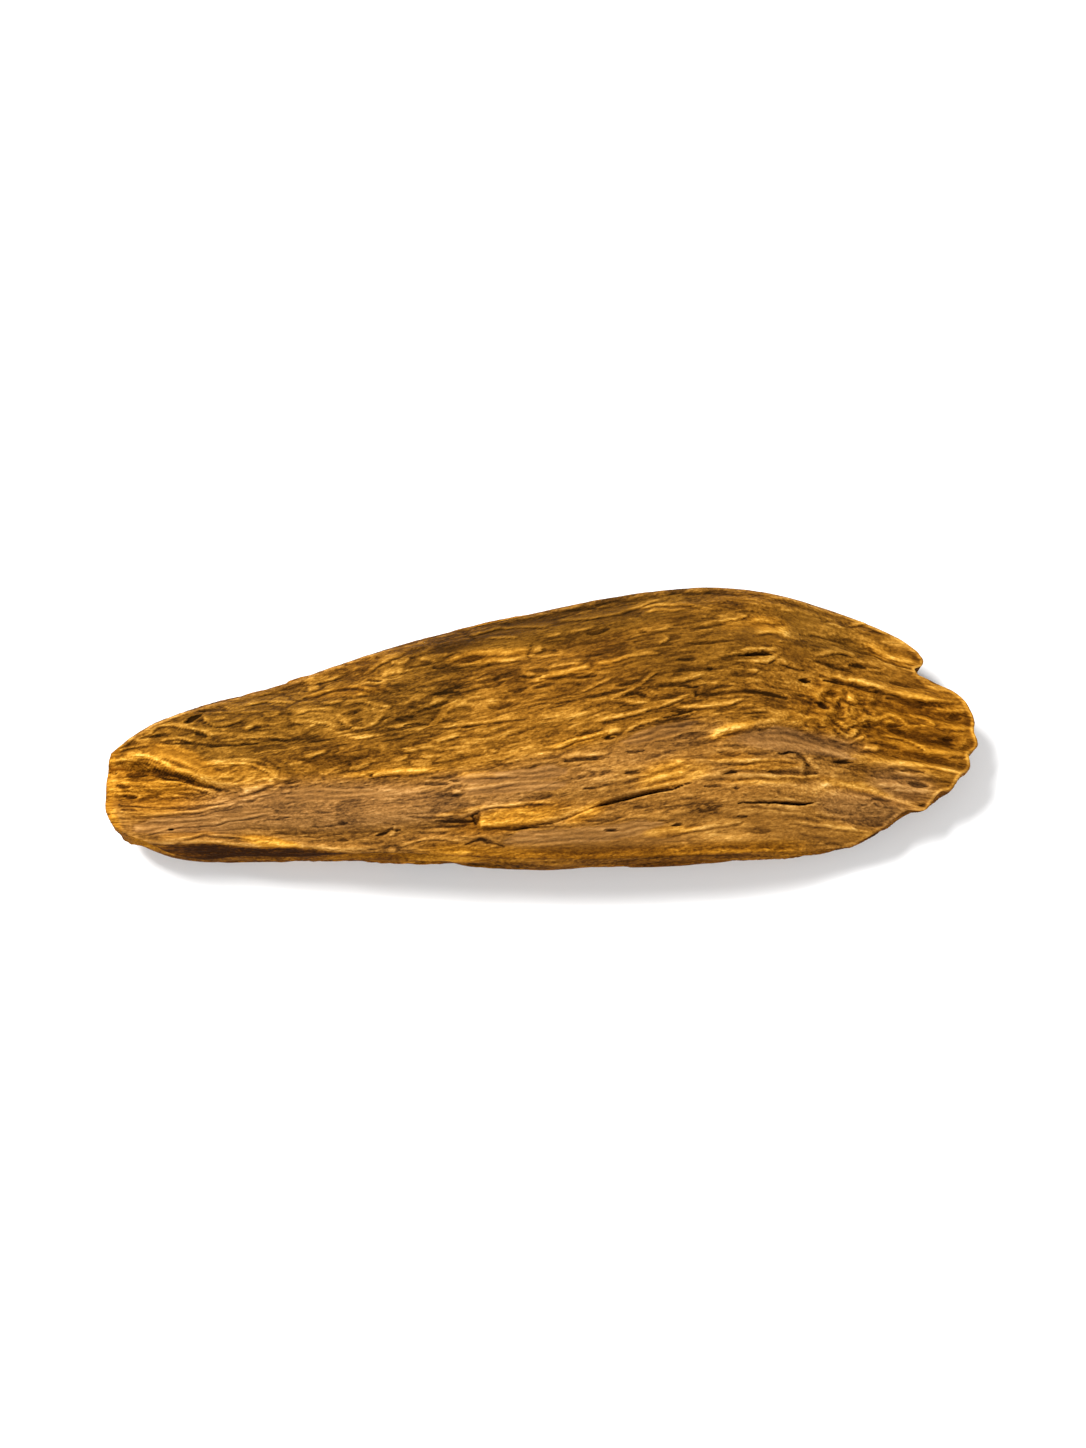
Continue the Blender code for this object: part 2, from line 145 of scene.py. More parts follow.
# A plate that ends in a step, and the rough knot on the upper right
STEP_FROM, STEP_FULL, STEP_TO = 8.0, 12.0, 17.7
STEP_LOW, STEP_HIGH, STEP_HEIGHT = -3.5, -2.3, 0.34
STEP_EDGE_WIDTH = 0.3
KNOT_PLACE, KNOT_RADIUS, KNOT_HEIGHT = (20.4, 1.5), 3.4, 0.34
KNOT_STRETCH, KNOT_CORE_SHARE = 1.3, 0.3

# Underside: where each hewn facet starts to rise from the resting face, and its slope
BACK_BEVEL_INSET, BACK_BEVEL_SLOPE = 5.0, 0.45
FRONT_BEVEL_INSET, FRONT_BEVEL_SLOPE = 2.3, 0.48
RIGHT_BEVEL_FROM, RIGHT_BEVEL_SLOPE = 20.5, 0.195
LEFT_BEVEL_FROM, LEFT_BEVEL_SLOPE = -23.0, 0.23

# Edge wall: share of its height by which it is set in above and below its widest line, how far its
# first rings are drawn back out to the rim, and how much smoother it is at the two ends
WALL_INSET_ABOVE, WALL_INSET_BELOW = 0.10, 0.24
WALL_WIDEST = 0.42
RIM_TUCK, END_WALL_CALM = 0.9, 0.8
FOOT_SMOOTHING = 150

# Mesh: cells along and across the top, how far down the wall's first rings lie, the share of its height
# that they may take, and the rows below them
CELLS_ALONG, CELLS_ACROSS = 320, 200
RIM_DROPS = (0.09, 0.22, 0.42)
RIM_DROP_LIMIT = 0.3
WALL_ROWS = 22

# Zones of the top, each as the place where it starts and the place from which it is full
RIGHT_ZONE, FAN_ZONE, TEETH_ZONE = (18.0, 25.0), (19.0, 22.0), (21.5, 26.0)
LEFT_TIP_ZONE, SCOOP_CORNER_ZONE = (-28.6, -29.2), (-22.0, -24.5)
FRONT_ZONE, BACK_ZONE = (-0.8, -2.0), (2.0, 4.0)
FRONT_EDGE_WIDTH = 3.0

# Noises, each as its strength, its length along the grain, its width across it and its seed
GOUGE_WANDER, GRAIN_RIDGES = (0.45, 14.0, 5.0, 3), (0.32, 9.0, 1.5, 5)
KNOT_BUMPS, KNOT_GRIT = (0.7, 0.75, 0.75, 8), (0.4, 0.4, 0.32, 9)
SLOW_WAVES, QUICK_WAVES = (0.24, 5.0, 1.7, 21), (0.08, 1.7, 0.8, 22)
FRONT_WANDER = (0.7, 5.0, 2.0, 31)
MARK_SWAY_ALONG = (0.22, 1.4, 0.5, 43)
MARK_SWAY_FINE, MARK_SWAY_BROAD = (0.06, 0.8, 0.4, 44), (0.09, 2.2, 1.0, 45)
RING_WOBBLE, PAD_RAGGEDNESS, STRIPE_WOBBLE = (0.30, 0.6, 0.35, 46), (0.45, 1.0, 0.5, 47), (1.6, 1.6, 0.5, 48)
WALL_SWELL, WALL_OLIVE = (1.0, 9.0, 1.3, 51), (0.35, 8.0, 2.0, 52)
WALL_ORANGE, WALL_MAUVE = (0.35, 9.0, 1.6, 53), (1.0, 11.0, 2.4, 54)
UNDER_CUTS, UNDER_MAUVE = (1.0, 10.0, 2.1, 61), (0.5, 9.0, 3.0, 62)
UNDER_DARK, UNDER_ORANGE = (1.0, 8.0, 1.8, 63), (1.0, 11.0, 2.6, 64)

# Fibre layers: length, width and seed of their noise, how sharply it plateaus, and share of the height
FIBRE_LAYERS = ((6.5, 0.80, 23, 2.2, 0.42), (3.4, 0.38, 24, 2.0, 0.36), (2.0, 0.21, 25, 1.6, 0.22))
FIBRE_MIDDLE = 0.6

# Layers of splinters and slits: shift across the grain, lane width, cell length, seed, share kept
TOP_SHORT, TOP_WIDE = (0.0, 0.50, 2.6, 100, 0.8), (0.3, 0.74, 4.4, 200, 0.55)
TOP_THIN, TOP_TINY = (0.1, 0.34, 1.9, 300, 0.7), (0.2, 0.40, 1.5, 900, 0.75)
TOP_SLITS = (0.5, 0.42, 2.4, 400, 0.3)
WALL_SHORT, WALL_WIDE = (0.0, 0.62, 4.8, 500, 0.8), (0.3, 1.05, 8.5, 600, 0.6)
WALL_SLITS = (0.5, 0.5, 5.0, 650, 0.3)
UNDER_SHORT, UNDER_WIDE = (0.0, 0.8, 5.0, 700, 0.6), (0.3, 1.3, 9.0, 800, 0.5)
UNDER_SLITS = (0.5, 0.6, 4.5, 750, 0.35)

# Large odd factors that scatter neighbouring cells, and the masks that keep the result in range
COLUMN_FACTOR, ROW_FACTOR, SEED_FACTOR, MIX_FACTOR = 374761393, 668265263, 974634777, 1274126177
WORD_MASK, FRACTION_MASK = 0xFFFFFFFF, 0xFFFFFF

# Painted shading of the relief, dark in gaps between fibres and in broad hollows: rounds of blurring, and
# the depth that counts as full
CAVITY_BLUR, CAVITY_DEPTH = 4, 0.045
HOLLOW_BLUR, HOLLOW_DEPTH = 60, 0.22

# Screen colours of the wood from its dark gaps to its pale tops, at these places on the way
TONE_PLACES = (0.0, 0.22, 0.45, 0.65, 0.85, 1.0)
GOLDEN = ((40, 22, 4), (82, 49, 10), (131, 85, 22), (171, 119, 42), (208, 156, 70), (233, 190, 108))
TAN = ((38, 23, 11), (84, 55, 26), (133, 91, 44), (169, 122, 66), (203, 156, 94), (231, 190, 128))
DEEP = ((42, 20, 3), (86, 48, 6), (137, 85, 14), (181, 121, 29), (218, 157, 52), (242, 195, 92))
DULL = ((34, 20, 4), (72, 44, 9), (115, 76, 20), (155, 108, 37), (195, 148, 65), (229, 185, 105))

# Noises of the wood's shader: scale along, across and up the grain, detail, roughness and distortion
FIBRE_NOISE, HAIR_NOISE = ((0.58, 2.3, 2.0), 1.0, 0.5, 0.25), ((1.6, 5.6, 5.0), 1.0, 0.5, 0.3)
MOTTLE_NOISE, BROAD_NOISE = ((4.4, 6.5, 6.0), 3.0, 0.6, 0.3), ((0.16, 0.5, 0.4), 2.0, 0.5, 0.0)

# The wood's specular level, and the depth of its finest fibres
SHEEN = 0.01
BUMP_DEPTH = 0.05

# Studio, in metres and watts: camera, lights as (place, size, power), surround and floor
LENS_MM, SENSOR_MM = 200.0, 36.0
CAMERA_DISTANCE, TARGET_HEIGHT = 0.415, 0.0045
CLIP_START, CLIP_END = 0.01, 10.0
KEY_LIGHT = ((-0.36, 0.26, 0.58), 0.26, 8.8)
FILL_LIGHT = ((0.25, -0.5, 0.45), 0.5, 3.2)
SURROUND_STRENGTH = 0.5
WHITE, FLOOR_WHITE = (1.0, 1.0, 1.0, 1.0), (0.9, 0.9, 0.9, 1.0)
FLOOR_ROUGHNESS = 0.8
FLOOR_HALF, FLOOR_DROP = 2.0, 0.00002

# Raised strands and flakes that stand out on the top, each with a painted shadow along its front foot: half
# width, height, lightness, points (x, seen)
RIDGES = (
    (0.27, 0.16, 1.0, (
        (-29.6, -2.3), (-27.1, -2.0), (-25.3, -2.75), (-23.9, -3.2), (-22.8, -3.7), (-21.7, -4.2),
    )),
    (0.13, 0.10, 1.0, ((-24.4, -3.95), (-23.3, -4.2), (-22.4, -4.55))),
    (0.12, 0.10, 0.5, ((-28.6, -2.7), (-26.9, -2.85))),
    (0.16, 0.12, 0.8, ((-26.3, -4.8), (-24.8, -4.75))),
    (0.11, 0.09, 0.7, ((-28.9, -5.3), (-26.8, -5.35), (-24.6, -5.35), (-22.4, -5.1), (-20.8, -4.7))),
    (0.12, 0.09, 0.7, ((-27.8, -6.15), (-25.0, -5.8), (-22.6, -5.5), (-20.5, -5.0), (-18.4, -4.4))),
    (0.11, 0.10, 0.5, ((-27.6, -7.4), (-25.5, -6.9), (-22.5, -6.6), (-18.4, -5.8))),
    (0.14, 0.12, 0.7, (
        (-27.8, -7.8), (-25.5, -7.8), (-23.3, -7.3), (-21.4, -7.4), (-18.6, -7.9), (-15.8, -8.2),
    )),
    (0.14, 0.12, 0.6, ((-16.8, -7.9), (-14.6, -8.15), (-12.6, -8.2), (-10.6, -8.1))),
    (0.11, 0.10, 0.6, ((-9.8, -8.1), (-8.2, -7.6), (-6.8, -7.5), (-5.4, -7.8))),
    (0.11, 0.10, 0.6, ((-9.6, -8.3), (-8.0, -8.35), (-6.4, -8.1), (-5.2, -8.0))),
    (0.14, 0.12, 1.1, ((-10.6, -7.3), (-10.1, -7.25))),
    (0.42, 0.14, 1.4, ((-20.5, -7.8), (-18.8, -7.95), (-17.2, -8.15), (-15.8, -8.3))),
    (0.13, 0.10, 0.8, ((-23.2, -2.6), (-22.0, -2.4), (-20.4, -2.45), (-19.2, -2.8), (-18.3, -3.4))),
    (0.12, 0.04, 0.9, ((-22.6, -3.7), (-21.8, -3.3), (-21.0, -2.8))),
    (0.12, 0.04, 0.9, ((-21.6, -3.9), (-20.8, -3.5), (-19.9, -2.9))),
    (0.11, 0.04, 0.8, ((-20.6, -3.9), (-19.8, -3.5), (-19.0, -3.1))),
    (0.14, 0.06, 0.25, ((1.9, -6.3), (2.9, -5.8), (4.1, -5.3))),
    (0.20, 0.12, 1.0, ((-20.6, -4.5), (-19.3, -4.1), (-18.2, -3.6))),
    (0.28, 0.14, 0.9, ((-26.6, -1.8), (-25.1, -2.3), (-23.6, -2.8))),
    (0.12, 0.12, 0.6, ((-23.2, 1.0), (-22.9, 0.3), (-21.7, 0.2), (-20.6, 0.6))),
    (0.13, 0.12, 0.9, ((-28.0, -0.8), (-26.7, -0.1), (-25.3, 0.15), (-23.9, -0.15), (-22.6, -0.5))),
    (0.14, 0.10, 0.9, ((-26.4, -0.95), (-25.1, -0.75), (-23.9, -0.85))),
    (0.11, 0.08, 0.7, ((-29.2, -1.7), (-28.2, -1.35), (-26.8, -1.15))),
    (0.16, 0.08, 1.1, (
        (-29.5, -1.75), (-28.6, -0.95), (-27.4, -0.2), (-26.0, 0.45), (-24.4, 1.0), (-22.6, 1.45),
    )),
    (0.22, 0.16, 1.0, ((-20.4, -0.1), (-19.6, 0.35), (-19.1, 0.3))),
    (0.13, 0.12, 0.7, ((-20.8, 1.5), (-19.2, 1.8), (-17.2, 1.6))),
    (0.20, 0.13, 0.9, ((-22.2, -0.8), (-19.7, -0.65), (-17.0, -0.7))),
    (0.20, 0.14, 0.9, ((-16.2, 2.5), (-15.2, 2.8))),
    (0.18, 0.14, 0.9, ((-16.4, 2.1), (-14.7, 2.5), (-12.4, 2.7), (-11.6, 2.5))),
    (0.13, 0.12, 0.7, ((-15.2, 1.6), (-13.7, 1.9))),
    (0.18, 0.14, 0.8, ((-12.0, 3.8), (-11.0, 4.6), (-9.7, 5.1))),
    (0.20, 0.14, 0.9, ((-11.1, 3.6), (-9.4, 3.8))),
    (0.16, 0.13, 0.9, ((-11.9, 1.6), (-10.5, 1.3))),
    (0.18, 0.13, 0.9, ((-16.1, -2.0), (-14.8, -1.6))),
    (0.26, 0.17, 1.3, ((-11.6, -3.3), (-10.4, -3.05), (-9.0, -2.95), (-7.6, -2.9))),
    (0.12, 0.09, 0.8, ((-13.7, -3.35), (-12.0, -3.25))),
    (0.13, 0.10, 0.9, ((-13.8, 0.4), (-12.8, -0.05), (-11.8, 0.2), (-11.0, 0.7))),
    (0.11, 0.09, 0.6, ((-13.9, 1.6), (-12.7, 1.8), (-11.5, 1.6))),
    (0.14, 0.11, 0.9, ((-17.0, 0.9), (-15.8, 1.2), (-14.4, 1.2))),
    (0.13, 0.10, 0.8, ((-16.9, 0.3), (-15.4, 0.4), (-14.2, 0.2))),
    (0.13, 0.10, 0.8, ((-16.6, 3.0), (-15.3, 3.1), (-14.0, 3.5))),
    (0.12, 0.10, 0.8, ((-13.6, -0.5), (-12.6, -0.7), (-11.6, -0.5))),
    (0.13, 0.11, 0.8, ((-9.6, -1.6), (-8.4, -1.45), (-7.4, -1.3))),
    (0.12, 0.12, 0.6, ((-5.3, 6.3), (-4.2, 6.6), (-2.5, 6.9))),
    (0.10, 0.10, 0.5, ((-4.0, 6.1), (-1.7, 6.1))),
    (0.10, 0.10, 0.5, ((-3.6, 6.7), (-1.7, 6.9), (0.6, 7.0))),
    (0.12, 0.12, 0.7, ((1.1, 7.2), (4.6, 7.7), (6.4, 8.2), (7.1, 8.6), (8.6, 8.9))),
    (0.17, 0.13, 0.7, ((6.7, 6.7), (8.6, 6.8))),
    (0.16, 0.14, 0.9, ((8.0, 5.8), (8.6, 6.1))),
    (0.26, 0.14, 1.0, ((-6.6, 4.5), (-5.5, 4.9), (-3.6, 5.1), (-1.4, 5.3), (-0.8, 5.4))),
    (0.18, 0.12, 0.8, ((-6.1, 4.2), (-3.6, 4.5), (-1.1, 4.7))),
    (0.22, 0.15, 1.1, ((-0.6, 5.3), (0.1, 5.5))),
    (0.14, 0.13, 1.0, ((-1.4, 3.6), (-0.7, 3.7))),
    (0.16, 0.13, 1.0, ((-0.6, 3.2), (0.1, 3.4))),
    (0.18, 0.15, 1.0, ((0.4, 3.5), (1.7, 3.8), (3.1, 4.25))),
    (0.13, 0.12, 0.9, ((3.6, 4.3), (4.7, 4.5), (6.0, 4.8), (7.8, 5.0))),
    (0.09, 0.09, 0.7, ((1.1, 3.3), (2.5, 3.7), (5.0, 3.75))),
    (0.09, 0.10, 0.7, ((2.2, 2.4), (3.7, 2.9), (5.0, 3.5))),
    (0.08, 0.10, 0.7, ((4.2, 1.8), (6.7, 3.0), (7.9, 3.8))),
    (0.07, 0.08, 0.6, ((6.7, 2.9), (8.0, 2.2))),
    (0.16, 0.12, 0.8, ((5.6, 1.7), (7.3, 1.7))),
    (0.13, 0.14, 0.9, ((3.6, 0.4), (6.7, 1.1), (8.9, 1.8), (10.4, 2.2))),
    (0.15, 0.15, 1.0, ((0.6, -1.5), (2.5, -0.85), (4.4, -0.35))),
    (0.24, 0.20, 1.2, ((4.5, -0.35), (5.2, -0.2))),
    (0.15, 0.14, 1.0, ((1.4, -2.1), (2.9, -1.85), (4.4, -1.7))),
    (0.12, 0.12, 0.7, ((5.3, -0.4), (7.3, 0.4), (10.4, 1.1))),
    (0.30, 0.12, 1.1, ((6.8, -3.7), (8.2, -3.3), (9.8, -2.9))),
    (0.22, 0.10, 1.0, ((7.0, -3.0), (8.6, -2.6), (9.8, -2.2))),
    (0.30, 0.07, 0.9, ((6.8, -7.3), (8.2, -7.1), (10.0, -6.8))),
    (0.13, 0.05, 0.2, ((-7.4, 0.1), (-6.7, 0.9), (-5.8, 1.6))),
    (0.14, 0.12, 0.8, ((-7.5, -1.0), (-5.5, -0.5))),
    (0.16, 0.12, 0.8, ((-7.2, 0.0), (-4.4, 0.35), (-2.5, 0.5), (-0.8, 0.7))),
    (0.15, 0.12, 0.8, ((-6.7, 2.2), (-4.2, 2.8))),
    (0.12, 0.12, 0.8, ((-8.9, 2.5), (-7.1, 2.6))),
    (0.20, 0.13, 0.7, ((-5.4, -3.3), (-3.6, -3.2), (-1.9, -3.2))),
    (0.18, 0.15, 1.0, ((-6.3, -4.4), (-5.7, -4.4))),
    (0.18, 0.12, 0.6, ((-5.4, -4.15), (-3.6, -4.0), (-1.7, -3.8))),
    (0.18, 0.14, 1.0, ((-5.5, -6.0), (-3.6, -5.5), (-1.7, -5.2), (0.6, -5.2))),
    (0.14, 0.12, 0.9, ((-7.2, -5.95), (-5.8, -5.9))),
    (0.26, 0.14, 1.0, ((-7.9, -8.7), (-6.7, -8.7), (-5.2, -8.5))),
    (0.10, 0.10, 0.6, ((-5.1, -8.15), (-4.2, -8.2), (-2.8, -8.0))),
    (0.16, 0.16, 1.1, ((-10.5, -8.5), (-9.9, -8.5))),
    (0.14, 0.12, 0.8, ((12.1, 7.2), (14.0, 7.7))),
    (0.30, 0.10, 1.1, ((14.2, 7.2), (15.4, 7.4), (16.4, 7.2))),
    (0.24, 0.10, 1.0, ((14.6, 6.4), (15.8, 6.6), (17.1, 6.3))),
    (0.11, 0.12, 0.8, ((13.3, 5.35), (14.7, 5.35), (16.1, 5.25))),
    (0.13, 0.12, 0.8, ((13.2, 4.6), (14.7, 4.45), (15.9, 4.6), (16.3, 5.1))),
    (0.15, 0.15, 1.0, ((14.2, 3.75), (14.6, 3.85))),
    (0.13, 0.13, 0.9, ((8.7, 3.1), (10.1, 3.4), (10.9, 3.5))),
    (0.14, 0.14, 0.9, ((9.6, 1.4), (11.6, 1.5), (13.2, 1.8), (13.6, 2.1))),
    (0.30, 0.17, 1.4, ((11.5, -0.7), (12.6, -0.25), (14.1, 0.05))),
    (0.20, 0.12, 0.8, ((12.6, -2.35), (14.7, -2.15), (16.4, -2.1), (17.5, -2.15))),
    (0.14, 0.09, 0.8, ((18.1, -2.0), (18.45, -2.4), (18.8, -3.0))),
    (0.10, 0.09, 0.9, ((20.0, 0.6), (20.5, 0.2), (21.1, 0.1), (21.6, 0.45))),
    (0.10, 0.08, 0.8, ((17.9, 0.55), (18.8, 0.6), (19.6, 0.5))),
    (0.10, 0.08, 0.7, ((18.0, 0.1), (19.3, 0.1))),
    (0.13, 0.10, 0.9, ((0.4, 4.0), (1.6, 4.25), (2.8, 4.5))),
    (0.11, 0.08, 0.7, ((-1.0, 4.95), (0.8, 4.95), (2.4, 5.1))),
    (0.14, 0.08, 0.9, ((0.1, 6.3), (1.3, 6.4))),
    (0.13, 0.09, 0.8, ((2.0, 6.5), (2.7, 6.65), (3.5, 6.9))),
    (0.12, 0.09, 0.8, ((6.4, 8.1), (7.8, 8.45), (9.4, 8.45), (10.8, 8.2))),
    (0.11, 0.08, 0.7, ((6.9, 7.9), (8.2, 8.1), (9.6, 8.1))),
    (0.16, 0.12, 0.8, ((12.4, -3.75), (13.4, -3.4), (16.2, -3.35), (18.8, -3.45))),
    (0.28, 0.07, 1.6, ((18.6, -4.4), (19.9, -3.8), (20.9, -4.0), (23.1, -4.6), (25.2, -5.2), (26.3, -5.6))),
    (0.16, 0.13, 0.7, ((8.7, -7.3), (10.8, -6.9), (13.4, -6.5))),
    (0.14, 0.12, 0.7, ((16.7, -6.4), (20.9, -7.0), (23.1, -7.2))),
    (0.13, 0.10, 0.7, ((10.8, -8.6), (13.3, -8.5), (15.9, -8.3))),
    (0.13, 0.16, 1.0, ((20.0, 0.5), (20.8, 0.0), (21.6, 0.4))),
    (0.12, 0.14, 0.9, ((19.9, -0.05), (20.8, -0.55), (21.7, 0.0))),
    (0.12, 0.12, 0.8, ((19.7, -0.6), (20.9, -1.05), (22.2, -0.5))),
    (0.24, 0.26, 1.3, ((20.8, 2.0), (21.4, 1.8))),
    (0.22, 0.20, 1.7, ((22.1, -1.35), (23.1, -1.5))),
    (0.22, 0.24, 1.1, ((19.3, 3.55), (21.1, 3.25), (22.9, 2.9), (24.5, 2.35), (26.5, 2.0), (28.5, 1.8))),
    (0.24, 0.22, 1.0, ((22.3, 5.65), (23.8, 5.1), (24.8, 4.7), (25.7, 4.4))),
    (0.15, 0.14, 0.8, ((18.8, 5.0), (20.1, 5.2), (21.6, 4.9))),
    (0.14, 0.13, 0.7, ((27.0, 1.0), (29.2, 1.0))),
    (0.14, 0.13, 0.7, ((27.2, 0.0), (29.4, 0.0))),
    (0.26, 0.10, 0.8, ((28.2, -1.35), (29.5, -1.1))),
    (0.17, 0.15, 0.9, ((23.7, -2.55), (26.0, -2.6), (28.0, -3.0), (28.9, -3.1))),
    (0.12, 0.12, 0.7, ((23.0, -4.1), (24.5, -4.1), (26.7, -4.35))),
    (0.14, 0.12, 0.8, ((21.4, 7.0), (22.6, 7.3))),
    (0.12, 0.12, 0.9, ((23.2, -0.5), (24.6, -0.75), (25.6, -1.2), (26.4, -1.9))),
    (0.12, 0.12, 0.8, ((23.2, 0.65), (24.0, 0.75), (24.9, 0.4), (25.3, 0.0))),
    (0.11, 0.10, 0.7, ((21.6, 0.5), (22.3, 0.6), (23.0, 0.3))),
    (0.12, 0.10, 0.7, ((25.0, 0.9), (26.2, 0.5), (26.9, 0.1))),
    (0.16, 0.10, 0.8, ((24.3, -2.35), (25.4, -2.4), (26.6, -2.6))),
    (0.16, 0.08, 0.7, ((24.0, -3.3), (25.4, -3.3), (26.6, -3.4))),
    (0.16, 0.08, 0.6, ((24.2, -4.3), (26.2, -4.45))),
)
